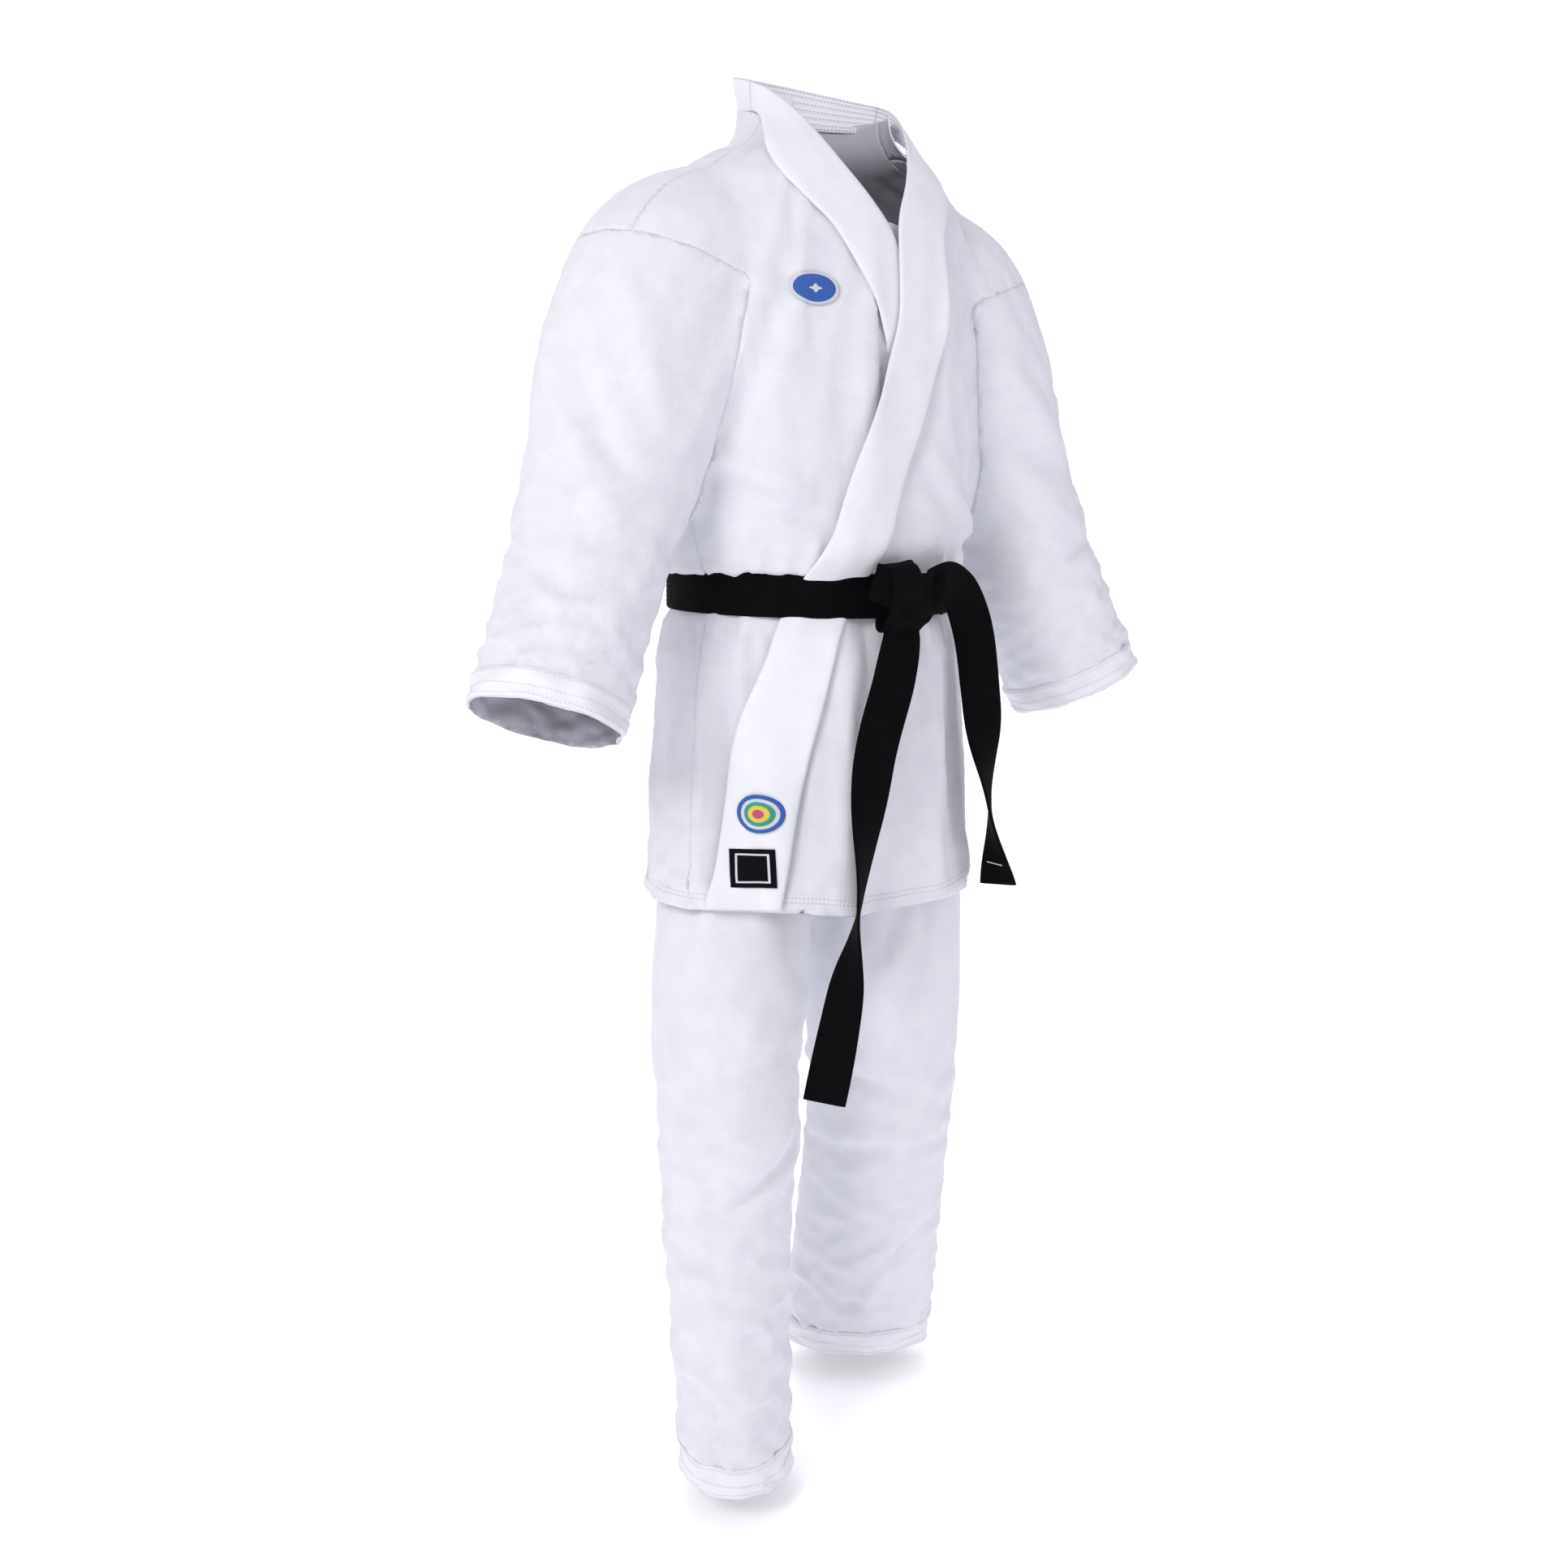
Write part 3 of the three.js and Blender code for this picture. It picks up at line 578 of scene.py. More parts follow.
# The neck opening: what lies between the two lapels above their crossing.
c = faceCentres(jacketForm)
inset = 0.022
high = ease(c[:, 2], -0.075, -0.060)
neckReach = np.minimum(0.051 + 0.4245 * (c[:, 2] + 0.066), 0.064)
opening = ((c[:, 1] < 0) & (c[:, 2] > -0.115)
           & (c[:, 0] > (rightEdge(c[:, 2]) - inset) * (1 - high) - neckReach * high)
           & (c[:, 0] < (leftEdge(c[:, 2]) + inset) * (1 - high) + neckReach * high))
deleteFaces(jacketForm, opening)

# The left front stands off the chest where it covers the right front.
co = coords(jacketForm)
toEdge = co[:, 0] - leftEdge(co[:, 2])
onLeftFront = (co[:, 1] < 0) & (toEdge > 0.02) & (np.abs(co[:, 0]) < 0.21)
lift = 0.0035 * (1 - ease(toEdge, 0.03, 0.15)) * ease(-co[:, 2], 0.05, 0.12) * waistPinch(co[:, 2])
co += normals(jacketForm) * (lift * onLeftFront)[:, None]
setCoords(jacketForm, co)


def cast(tree, start, way, fallback):
    hit = tree.ray_cast(Vector(start), Vector(way).normalized(), 0.6)
    return np.array(hit[0]) if hit[0] is not None else np.array(fallback)


jacketTree = treeOf(jacketForm)


def smoothGrid(grid, rounds):
    g = grid.copy()
    for _ in range(rounds):
        eased(g)
        g[:, 1:-1] = 0.5 * g[:, 1:-1] + 0.25 * (g[:, :-2] + g[:, 2:])
    return g


def gridNormals(grid, closed=False):
    du = np.roll(grid, -1, 0) - np.roll(grid, 1, 0) if closed else np.gradient(grid, axis=0)
    dv = np.gradient(grid, axis=1)
    n = np.cross(du, dv)
    return n / np.maximum(np.linalg.norm(n, axis=-1), 1e-9)[..., None]


# A stitched band: a grid of points along and across it, given a thickness with rounded edges.
def band(name, grid, thick, outward=1, rows=0, groove=0.0003, closed=False):
    n = gridNormals(grid, closed) * outward
    count, across = grid.shape[:2]
    a = np.linspace(-1, 1, across)
    profile = np.clip(1 - np.abs(a) ** 14, 0.25, 1)
    half = thick / 2 * profile
    ridge = groove * (np.cos(a * np.pi * rows) - 1) / 2 if rows else 0
    top = grid + n * (half + ridge)[None, :, None]
    low = grid - n * half[None, :, None]
    ring = np.concatenate([top, low[:, ::-1]], 1)
    steps = ring.shape[1]
    faces = [tuple(f) for f in gridFaces(steps, count - 1, True)]
    if closed:
        last = (count - 1) * steps
        faces += [(last + i, last + (i + 1) % steps, (i + 1) % steps, i) for i in range(steps)]
    else:
        for i in range(across - 1):
            j = steps - 1 - i
            faces.append((i, j, j - 1, i + 1))
            b = (count - 1) * steps
            faces.append((b + i, b + i + 1, b + j - 1, b + j))
    length = np.concatenate([[0], np.cumsum(np.linalg.norm(np.diff(grid[:, across // 2], axis=0), axis=1))])
    width = np.linalg.norm(grid[0, -1] - grid[0, 0])
    u = np.concatenate([a, a[::-1]]) * width / 2
    uvs = np.stack([np.tile(u, count), np.repeat(length, steps)], -1)
    ob = meshObject(name, ring.reshape(-1, 3), faces, uvs)
    outwards(ob)
    return smoothShade(ob)


def outwards(ob):
    with editing(ob) as bm:
        bmesh.ops.recalc_face_normals(bm, faces=bm.faces)
        if bm.calc_volume(signed=True) < 0:
            bmesh.ops.reverse_faces(bm, faces=bm.faces)


# Node trees are written as new nodes with their values, then as links from socket to socket.
def newNode(nodes, kind, values=(), **settings):
    node = nodes.new(kind)
    for word, value in settings.items():
        setattr(node, word, value)
    for socket, value in dict(values).items():
        node.inputs[socket].default_value = value
    return node


def join(tree, *links):
    for source, output, target, socket in links:
        tree.links.new(source.outputs[output], target.inputs[socket])


# A plain weave: two crossing rows of rounded threads, with slow tone changes over the cloth.
def wovenCloth(name, colour, shade, roughness, thread, depth, sheen=0.15, specular=0.3, mapped=True):
    m = bpy.data.materials.new(name)
    m.use_nodes = True
    nodes = m.node_tree.nodes
    shader = nodes["Principled BSDF"]
    for socket, value in {"Base Color": (*colour, 1), "Roughness": roughness, "Specular IOR Level": specular,
                          "Sheen Weight": sheen, "Sheen Roughness": 0.5}.items():
        shader.inputs[socket].default_value = value
    where = newNode(nodes, "ShaderNodeTexCoord")
    cloth = newNode(nodes, "ShaderNodeUVMap", uv_map="cloth") if mapped else where
    both = newNode(nodes, "ShaderNodeMath", operation="MAXIMUM")
    for k, axis in enumerate("XY"):
        weave = {"Scale": 0.314 / thread, "Distortion": 0.35, "Detail": 1.0}
        rows = newNode(nodes, "ShaderNodeTexWave", weave, bands_direction=axis)
        join(m.node_tree, (cloth, "UV" if mapped else "Object", rows, "Vector"), (rows, "Fac", both, k))
    soft = newNode(nodes, "ShaderNodeTexNoise", {"Scale": 38, "Detail": 4})
    tone = newNode(nodes, "ShaderNodeMapRange", {"From Min": 0.25, "From Max": 0.70})
    mix = newNode(nodes, "ShaderNodeMix", data_type="RGBA")
    mix.inputs["A"].default_value = (*shade, 1)
    mix.inputs["B"].default_value = (*colour, 1)
    bump = newNode(nodes, "ShaderNodeBump", {"Strength": depth, "Distance": thread * 0.35})
    crease = newNode(nodes, "ShaderNodeBump", {"Strength": 0.28, "Distance": 0.0025})
    join(m.node_tree, (where, "Object", soft, "Vector"), (soft, "Fac", tone, "Value"),
         (tone, "Result", mix, "Factor"), (mix, "Result", shader, "Base Color"),
         (both, "Value", bump, "Height"), (soft, "Fac", crease, "Height"),
         (bump, "Normal", crease, "Normal"), (crease, "Normal", shader, "Normal"))
    return m


canvas = wovenCloth("whiteCanvas", (0.77, 0.77, 0.81), (0.72, 0.72, 0.775), 0.86, 0.0012, 0.45)
bandCanvas = wovenCloth("whiteBandCanvas", (0.82, 0.82, 0.85), (0.78, 0.78, 0.83), 0.80, 0.0012, 0.40)
# The inner faces of the white cloth get a darker grey than the outer faces: painted shade for the shaded inside
# of the jacket.
insidePaintedShade = wovenCloth("greyInside", (0.56, 0.545, 0.60), (0.50, 0.485, 0.545), 0.92, 0.0012, 0.45, 0.05)
thread = wovenCloth("whiteThread", (0.70, 0.70, 0.745), (0.63, 0.63, 0.69), 0.60, 0.0006, 0.30, mapped=False)
beltCotton = wovenCloth("blackBeltCotton", (0.0026, 0.0026, 0.0034), (0.0018, 0.0018, 0.0026),
                        0.75, 0.0010, 0.55, 0.0, 0.05)
patchInk = wovenCloth("darkPatchWeave", (0.004, 0.004, 0.006), (0.003, 0.003, 0.004),
                      0.70, 0.0007, 0.35, 0.0, 0.06)


def embroidery(name, colour, shade, roughness=0.50):
    return wovenCloth(name, colour, shade, roughness, 0.0006, 0.50, 0.1)


patchBlue = embroidery("blueEmbroidery", (0.030, 0.110, 0.420), (0.024, 0.090, 0.360))
patchGreen = embroidery("greenEmbroidery", (0.045, 0.300, 0.220), (0.038, 0.260, 0.190))
patchRose = embroidery("roseEmbroidery", (0.520, 0.060, 0.200), (0.460, 0.050, 0.170))
patchGold = embroidery("goldEmbroidery", (0.700, 0.560, 0.060), (0.620, 0.500, 0.050))
patchPale = embroidery("paleEmbroidery", (0.640, 0.640, 0.680), (0.560, 0.560, 0.620), 0.55)


# How far out a point lies on a sleeve or on the torso, where 1 is on the form's own surface.
def tubeLevel(points, rings):
    middle = rings.mean(1)
    reach = np.linalg.norm(rings - middle[:, None], axis=2).mean(1)
    best = np.full(len(points), 9.0)
    for m, r in zip(middle, reach):
        best = np.minimum(best, np.linalg.norm(points - m, axis=1) / r)
    return best


def torsoLevel(points):
    theta = np.arctan2(points[:, 1], points[:, 0])
    return np.hypot(points[:, 0], points[:, 1]) / torsoRadius(theta, points[:, 2])


def takeFaces(source, name, chosen, uvOf):
    me = source.data
    co = coords(source)
    polys = [tuple(me.polygons[i].vertices) for i in np.nonzero(chosen)[0]]
    used = sorted({v for p in polys for v in p})
    new = {v: k for k, v in enumerate(used)}
    ob = meshObject(name, co[used], [[new[v] for v in p] for p in polys])
    layer = ob.data.uv_layers.new(name="cloth")
    loopVert = np.zeros(len(ob.data.loops), int)
    ob.data.loops.foreach_get("vertex_index", loopVert)
    uv, period = uvOf(co[used])
    uv = uv[loopVert]
    if period:
        starts = np.array([p.loop_start for p in ob.data.polygons])
        totals = np.array([p.loop_total for p in ob.data.polygons])
        high = np.maximum.reduceat(uv[:, 0], starts)
        uv[:, 0] += np.where(uv[:, 0] < np.repeat(high, totals) - period / 2, period, 0)
    layer.data.foreach_set("uv", uv.ravel())
    return smoothShade(ob)


def torsoUv(p):
    theta = np.arctan2(p[:, 1], p[:, 0])
    theta = np.where(theta < -np.pi / 12, theta + 2 * np.pi, theta)
    return np.stack([theta * 0.17, p[:, 2]], -1), 0


def tubeUv(rings, radius):
    middle = rings.mean(1)

    def uvOf(p):
        near = np.argmin(np.linalg.norm(p[:, None] - middle[None], axis=2), 1)
        rel = p - middle[near]
        turn = np.arctan2(rel[:, 1], rel[:, 0]) + np.pi
        return np.stack([turn * radius, p[:, 2]], -1), 2 * np.pi * radius
    return uvOf


def thicken(ob, thick):
    mod = ob.modifiers.new("cloth", "SOLIDIFY")
    mod.thickness = thick
    mod.offset = -1
    mod.use_even_offset = False
    # The inner faces take the second material, the darker grey of painted shade.
    mod.material_offset = 1
    mod.material_offset_rim = 0
    ob.data.materials.append(canvas)
    ob.data.materials.append(insidePaintedShade)
    return smoothShade(applyModifiers(ob))


# Where two pieces meet, their shared edge is drawn into an even line.
def evenSeams(ob, labels, rounds=14):
    near = {}
    with editing(ob) as bm:
        for e in bm.edges:
            if len(e.link_faces) == 2 and labels[e.link_faces[0].index] != labels[e.link_faces[1].index]:
                u, v = e.verts
                near.setdefault(u.index, []).append(v.index)
                near.setdefault(v.index, []).append(u.index)
    co = coords(ob)
    loose = [(i, n[0], n[1]) for i, n in near.items() if len(n) == 2]
    mid, one, two = np.array(loose).T
    for _ in range(rounds):
        co[mid] = 0.5 * co[mid] + 0.25 * (co[one] + co[two])
    setCoords(ob, co)


dropPoint = np.array([.215, 0, -.160])
dropAxis = unit(.34, -.05, -.94)
sideSlope = math.tan(math.radians(12))
for side in (-1, 1):
    mirror = np.array([side, 1, 1])
    cutAlong(jacketForm, dropPoint * mirror, dropAxis * mirror,
             lambda q: side * q.x > 0.135 and -.24 < q.z < -.09, True)
    cutAlong(jacketForm, (0, 0, 0), (side * sideSlope, 1, 0), lambda q: side * q.x > 0.04, True)
cutAlong(jacketForm, (0, 0, 0), (1, 0, 0), lambda q: q.y > 0 and abs(q.x) < 0.03, True)

c = faceCentres(jacketForm)
side = np.sign(c[:, 0])
body = torsoLevel(c)
arm = np.where(side > 0, tubeLevel(c, sleeves[1]), tubeLevel(c, sleeves[-1]))
beyond = ((np.abs(c[:, 0]) - dropPoint[0]) * dropAxis[0] + (c[:, 1] - dropPoint[1]) * dropAxis[1]
          + (c[:, 2] - dropPoint[2]) * dropAxis[2])
isSleeve = (beyond > 0) & (body > arm) & (np.abs(c[:, 0]) > 0.10)
isFront = ~isSleeve & (c[:, 1] + sideSlope * np.abs(c[:, 0]) < 0)
isBack = ~isSleeve & ~isFront
isLeftFront = isFront & (c[:, 0] > leftEdge(c[:, 2]) + 0.030)
labels = isSleeve * 1 + isFront * 2 + isLeftFront * 4 + isBack * 8 + (c[:, 0] < 0) * 16 * ~isFront
evenSeams(jacketForm, labels)
right = c[:, 0] < 0
panels = {}
for made, chosen, uvOf in (("frontPanelRight", isFront & ~isLeftFront, torsoUv),
                           ("frontPanelLeft", isLeftFront, torsoUv),
                           ("backPanelRight", isBack & right, torsoUv),
                           ("backPanelLeft", isBack & ~right, torsoUv),
                           ("sleeveRight", isSleeve & right, tubeUv(sleeves[-1], 0.08)),
                           ("sleeveLeft", isSleeve & (c[:, 0] > 0), tubeUv(sleeves[1], 0.08))):
    panels[made] = takeFaces(jacketForm, made, chosen, uvOf)
for ob in panels.values():
    thicken(ob, garment["cloth"])
bpy.data.objects.remove(jacketForm)

hipSplit = -0.760
cutAlong(trouserForm, (0, 0, hipSplit), (0, 0, 1), lambda q: abs(q.z - hipSplit) < 0.03, True)
cutAlong(trouserForm, (0, 0, 0), (1, 0, 0), lambda q: abs(q.x) < 0.03, True)
trouserTree = treeOf(trouserForm)
c = faceCentres(trouserForm)
trousers = {}
for side, word in ((-1, "Right"), (1, "Left")):
    mine = side * c[:, 0] > 0
    upper = c[:, 2] > hipSplit
    trousers["seat" + word] = takeFaces(trouserForm, "seat" + word, mine & upper, torsoUv)
    trousers["leg" + word] = takeFaces(trouserForm, "leg" + word, mine & ~upper, tubeUv(legs[side], 0.085))
for ob in trousers.values():
    thicken(ob, garment["cloth"])
bpy.data.objects.remove(trouserForm)
print("panels cut")

# The lapels and the collar are one stitched band, with its height and thickness here.
collar = {"height": 0.046, "thick": 0.0042, "stitchRows": 6}


def chestGrid(x, z, lift):
    theta = np.full(x.shape, np.pi * 1.5)
    for _ in range(20):
        r = torsoRadius(theta, z)
        theta = theta + (x - r * np.cos(theta)) / 0.15
    p = np.stack([r * np.cos(theta), r * np.sin(theta), z], -1)
    away = np.stack([np.cos(theta), np.sin(theta), 0 * theta], -1)
    height = np.zeros(x.shape)
    for i in np.ndindex(x.shape):
        height[i] = (cast(torsoTree, p[i] + away[i] * 0.15, -away[i], p[i]) - p[i]) @ away[i]
    for _ in range(3):
        soft = smoothGrid(height, 5)
        height = soft + np.maximum(height - soft, 0) * 0.8
    return p + away * (smoothGrid(height, 3) + lift)[..., None]


def lapelGrid(edge, sign, low, liftOf, rows):
    z = np.linspace(low, lapelTop, rows)
    slope = np.gradient(edge(z), z)
    width = garment["lapelWidth"] * np.minimum(1.3, np.hypot(1, slope))
    a = np.linspace(0, 1, 25)
    x = edge(z)[:, None] + sign * a[None] * width[:, None]
    zz = np.repeat(z[:, None], 25, 1)
    if low < -0.8:
        drop = ease(-zz, 0.74, 0.82)
        zz = zz + drop * 0.010 * np.abs(x) / 0.17
    return chestGrid(x, zz, liftOf(zz) + 0 * x)


def collarGrid(rows=61):
    turn = np.linspace(-0.02, 1.02, rows)[:, None] * np.pi
    h = np.linspace(1, 0, 25)[None]
    back = np.maximum(0, np.sin(turn))
    flare = 1 + 0.10 * h
    radius = 0.074 + 0.006 * (1 - back)
    x = radius * flare * np.cos(turn)
    y = 0.004 + 0.074 * flare * np.sin(turn)
    z = 0.0045 + (0.016 - 0.0045) * back + h * collar["height"] * (0.62 + 0.38 * back)
    return np.stack([x, y, z], -1)


# Between the chest and the collar a lapel turns up over the shoulder's root on a smooth path.
def joining(low, high, rows=26):
    t = np.linspace(0, 1, rows)[1:-1, None, None]
    span = np.linalg.norm(high[0] - low[-1], axis=1)[None, :, None]
    wayIn = low[-1] - low[-3]
    wayIn = wayIn / np.linalg.norm(wayIn, axis=1)[:, None]
    wayOut = high[2] - high[0]
    wayOut = wayOut / np.linalg.norm(wayOut, axis=1)[:, None]
    path = (low[-1] * (2 * t ** 3 - 3 * t ** 2 + 1) + wayIn * span * (t ** 3 - 2 * t ** 2 + t)
            + high[0] * (3 * t ** 2 - 2 * t ** 3) + wayOut * span * (t ** 3 - t ** 2))
    for i in np.ndindex(path.shape[:2]):
        spot, normal = torsoTree.find_nearest(Vector(path[i]))[:2]
        proud = float((Vector(path[i]) - spot).dot(normal))
        if proud < 0.0036:
            path[i] = path[i] + np.array(normal) * (0.0036 - proud)
    return smoothGrid(path, 2)


lapelTop = -0.066
leftRows = lapelGrid(leftEdge, 1, -0.8205,
                     lambda z: 0.0012 + 0.0078 * ease(-z, 0.05, 0.12) * waistPinch(z), 170)
rightRows = lapelGrid(rightEdge, -1, -0.30, lambda z: 0.0035 - 0.0120 * ease(-z, 0.232, 0.262), 64)
ring = collarGrid()
leftTurn = joining(leftRows, ring)
rightTurn = joining(rightRows, ring[::-1])
whole = np.concatenate([leftRows, leftTurn, ring, rightTurn[::-1], rightRows[::-1]])
joins = (len(leftRows) + len(leftTurn), len(leftRows) + len(leftTurn) + len(ring))
for _ in range(6):
    eased(whole)
for j in joins:
    for _ in range(30):
        eased(whole[j - 18:j + 19])


def lapelPart(name, grid):
    ob = band(name, grid, collar["thick"], 1, collar["stitchRows"], 0.0012)
    ob.data.materials.append(bandCanvas)
    return ob


lapelLeft = lapelPart("lapelLeft", whole[:joins[0] + 1])
collarBand = lapelPart("collarBand", whole[joins[0]:joins[1] + 1])
lapelRight = lapelPart("lapelRight", whole[joins[1]:])
lapelNormals = gridNormals(whole)
print("lapels laid")


# The belt, its knot and its hanging ends; "knot" is how far forward the knot's back lies.
belt = {"width": 0.045, "thick": 0.0040, "rows": 9, "tilt": 0.007, "knot": -0.1377}


def beltRing(stand, rise, turnedUp, width):
    theta = np.linspace(0, 2 * np.pi, 240, endpoint=False)[:, None]
    a = np.linspace(-0.5, 0.5, 37)[None]
    z = garment["waist"] + belt["tilt"] * np.sin(theta) + rise * np.cos(theta - turnedUp) + a * width
    r = torsoRadius(theta, 0 * theta + garment["waist"]) + stand + 0.0015 * a ** 2
    r = r + 0.004 * np.maximum(0, -np.sin(theta)) ** 3
    return np.stack([r * np.cos(theta) + 0 * a, r * np.sin(theta) + 0 * a, z], -1)


def beltBand(name, grid, closed=False):
    ob = band(name, grid, belt["thick"], 1, belt["rows"], 0.0005, closed)
    ob.data.materials.append(beltCotton)
    return ob


def ribbonGrid(points, faces, widths, across=37, steps=90):
    points = np.array(points, float) + (0, belt["knot"], 0)
    keys = np.arange(len(points))
    t = np.linspace(0, len(points) - 1, steps)
    line = through(keys, points, t)
    for _ in range(6):
        eased(line)
    along = np.gradient(line, axis=0)
    along /= np.linalg.norm(along, axis=1)[:, None]
    side = through(keys, faces, t)
    side -= along * np.sum(side * along, axis=1)[:, None]
    side /= np.linalg.norm(side, axis=1)[:, None]
    width = curve(list(zip(keys, widths)))(t)
    a = np.linspace(-0.5, 0.5, across)
    return line[:, None] + side[:, None] * (width[:, None] * a[None])[..., None]


outerWrap = beltBand("beltOuterWrap", beltRing(0.0078, 0.0, 0, belt["width"]), True)
innerWrap = beltBand("beltInnerWrap", beltRing(0.0036, 0.005, math.radians(200), belt["width"]), True)
# Each ribbon's middle line from the knot's back, the way its width lies, and its widths.
knotParts = [
    beltBand("knotLoop", ribbonGrid(
        [(.000, .000, -.510), (-.008, -.012, -.524), (-.008, -.028, -.505), (-.004, -.032, -.482),
         (-.006, -.026, -.462), (-.004, -.012, -.4575), (.004, .001, -.466)],
        [(1, 0, .1)] * 7, [.036, .037, .038, .040, .038, .037, .036])),
    beltBand("knotCross", ribbonGrid(
        [(-.030, -.006, -.4745), (-.016, -.022, -.481), (.006, -.031, -.490), (.028, -.028, -.487),
         (.046, -.016, -.480)],
        [(0, .1, 1)] * 5, [.038, .042, .045, .043, .040])),
    beltBand("knotTuck", ribbonGrid(
        [(.040, -.014, -.468), (.026, -.024, -.486), (.010, -.026, -.506), (.002, -.020, -.522),
         (.000, -.012, -.5285)],
        [(.75, 0, .55), (.8, 0, .45), (1, 0, .2), (1, 0, 0), (1, 0, 0)], [.034, .038, .042, .042, .040])),
]
print("knot tied")
tailRight = beltBand("beltEndRight", ribbonGrid(
    [(.002, -.013, -.512), (.000, -.0165, -.532), (-.012, -.020, -.574),
     (-.042, -.024, -.660), (-.060, -.026, -.800), (-.078, -.023, -.905), (-.098, -.016, -1.010)],
    [(1, -.1, 0), (1, -.25, 0), (.9, -.45, 0), (.95, -.30, 0), (.70, .71, 0), (-.35, .94, 0), (-.82, .57, 0)],
    [.040, .042, .044, .045, .045, .045, .045], steps=150))
tailLeftGrid = ribbonGrid(
    [(.034, -.020, -.480), (.058, -.017, -.474), (.084, -.008, -.484), (.116, .002, -.530),
     (.134, .006, -.610), (.150, .008, -.720), (.166, .008, -.815)],
    [(0, -.15, 1), (.2, -.25, 1), (.55, -.35, .75), (.85, -.45, .3), (.93, -.36, .1),
     (.72, .69, 0), (-.35, .93, 0)],
    [.036, .040, .043, .045, .045, .045, .045], steps=150)
tailLeft = beltBand("beltEndLeft", tailLeftGrid)
print("belt laid")

# Stitched bands at the cuffs and the trouser hems: their widths, stand-off and thickness.
hemBands = {"cuff": 0.030, "trouser": 0.032, "stand": 0.0008, "thick": 0.0020}


def tubeBand(name, tree, middle, axis, width, count=120, across=9):
    axis = np.array(axis) / np.linalg.norm(axis)
    first = np.cross(axis, (0, 1.0, 0))
    first /= np.linalg.norm(first)
    second = np.cross(axis, first)
    grid = np.zeros((count, across, 3))
    for i in range(count):
        phi = 2 * np.pi * i / count
        out = first * math.cos(phi) + second * math.sin(phi)
        for j in range(across):
            centre = middle - axis * width * j / (across - 1)
            hit = tree.ray_cast(Vector(centre), Vector(out), 0.2)[0]
            grid[i, j] = np.array(hit) if hit is not None else centre + out * 0.078
    for _ in range(2):
        grid = 0.5 * grid + 0.25 * (np.roll(grid, 1, 0) + np.roll(grid, -1, 0))
    n = gridNormals(grid, True)
    flip = np.sign(np.mean(np.sum(n * (grid - middle), -1)))
    ob = band(name, grid + n * flip * hemBands["stand"], hemBands["thick"], flip, 3, 0.0004, True)
    ob.data.materials.append(bandCanvas)
    return ob, grid + n * flip * (hemBands["stand"] + hemBands["thick"] / 2)


cuffs, cuffGrids, hems, hemGrids = {}, {}, {}, {}
for side, word in ((-1, "Right"), (1, "Left")):
    mirror = np.array([side, 1, 1])
    end = cuffMiddle * mirror - cuffAxis * mirror * 0.0006
    cuffs[word], cuffGrids[word] = tubeBand("cuffHem" + word, jacketTree, end, cuffAxis * mirror,
                                            hemBands["cuff"])
    lowMiddle = legs[side][np.argmin(np.abs(legs[side][:, 0, 2] + 1.438))].mean(0)
    lowMiddle[2] = garment["trouserHem"] + 0.0006
    hems[word], hemGrids[word] = tubeBand("trouserHem" + word, trouserTree, lowMiddle, (0, 0, -1),
                                          hemBands["trouser"])
print("hems turned")


# Patches: a square of cells, drawn round where asked, laid on the chest or the lapel.
def squarePatch(u, v):
    return u, v


def roundPatch(u, v):
    sideways = np.abs(u) > np.abs(v)
    r = np.where(sideways, u, v)
    ratio = np.where(sideways, v, u) / np.where(r == 0, 1, r)
    turn = np.where(sideways, np.pi / 4 * ratio, np.pi / 2 - np.pi / 4 * ratio)
    return r * np.cos(turn), r * np.sin(turn)


def surfacePatch(name, centre, size, lift, shape, colourOf, materials, cells):
    a = np.linspace(-1, 1, cells + 1)
    u, v = np.meshgrid(a, a, indexing="ij")
    px, pz = shape(u, v)
    x, z = centre[0] + px * size[0] / 2, centre[1] + pz * size[1] / 2
    p = chestGrid(x, z, np.full(x.shape, lift))
    uvs = np.stack([x, z], -1).reshape(-1, 2)
    faces = gridFaces(cells, cells)
    ob = meshObject(name, p.reshape(-1, 3), faces, uvs)
    for m in materials:
        ob.data.materials.append(m)
    place = np.stack(np.meshgrid(a[:-1] + 1 / cells, a[:-1] + 1 / cells, indexing="ij"), -1).reshape(-1, 2)
    corner = faces[:, 0]
    kinds = [colourOf(*place[k]) for k in (corner % (cells + 1)) + (corner // (cells + 1)) * cells]
    ob.data.polygons.foreach_set("material_index", kinds)
    facing = np.zeros(len(ob.data.polygons) * 3)
    ob.data.polygons.foreach_get("normal", facing)
    if facing.reshape(-1, 3)[:, 1].mean() > 0:
        ob.data.flip_normals()
    mod = ob.modifiers.new("pad", "SOLIDIFY")
    mod.thickness = 0.0012
    mod.offset = 1
    return smoothShade(applyModifiers(ob))


def badgeColour(u, v):
    ring = max(abs(u), abs(v))
    return 0 if ring > 0.80 else 4 if ring > 0.64 else 1 if ring > 0.44 else 3 if ring > 0.24 else 2


def labelColour(u, v):
    return 1 if 0.66 < max(abs(u), abs(v)) < 0.76 else 0


def markColour(u, v):
    return 1 if max(abs(u), abs(v)) > 0.84 or abs(v) + abs(u) < 0.30 else 0


patches = {
    "emblemPatch": {"centre": (-.122, -.711), "size": (.038, .040), "lift": .0118, "shape": roundPatch,
                    "colourOf": badgeColour, "cells": 50,
                    "materials": [patchBlue, patchGreen, patchRose, patchGold, patchPale]},
    "labelPatch": {"centre": (-.131, -.768), "size": (.038, .040), "lift": .0116, "shape": squarePatch,
                   "colourOf": labelColour, "cells": 42, "materials": [patchInk, patchPale]},
    "chestMark": {"centre": (-.084, -.187), "size": (.052, .032), "lift": .0012, "shape": roundPatch,
                  "colourOf": markColour, "cells": 38, "materials": [patchBlue, patchPale]},
}
emblem, label, mark = [surfacePatch(made, **values) for made, values in patches.items()]
print("patches sewn")


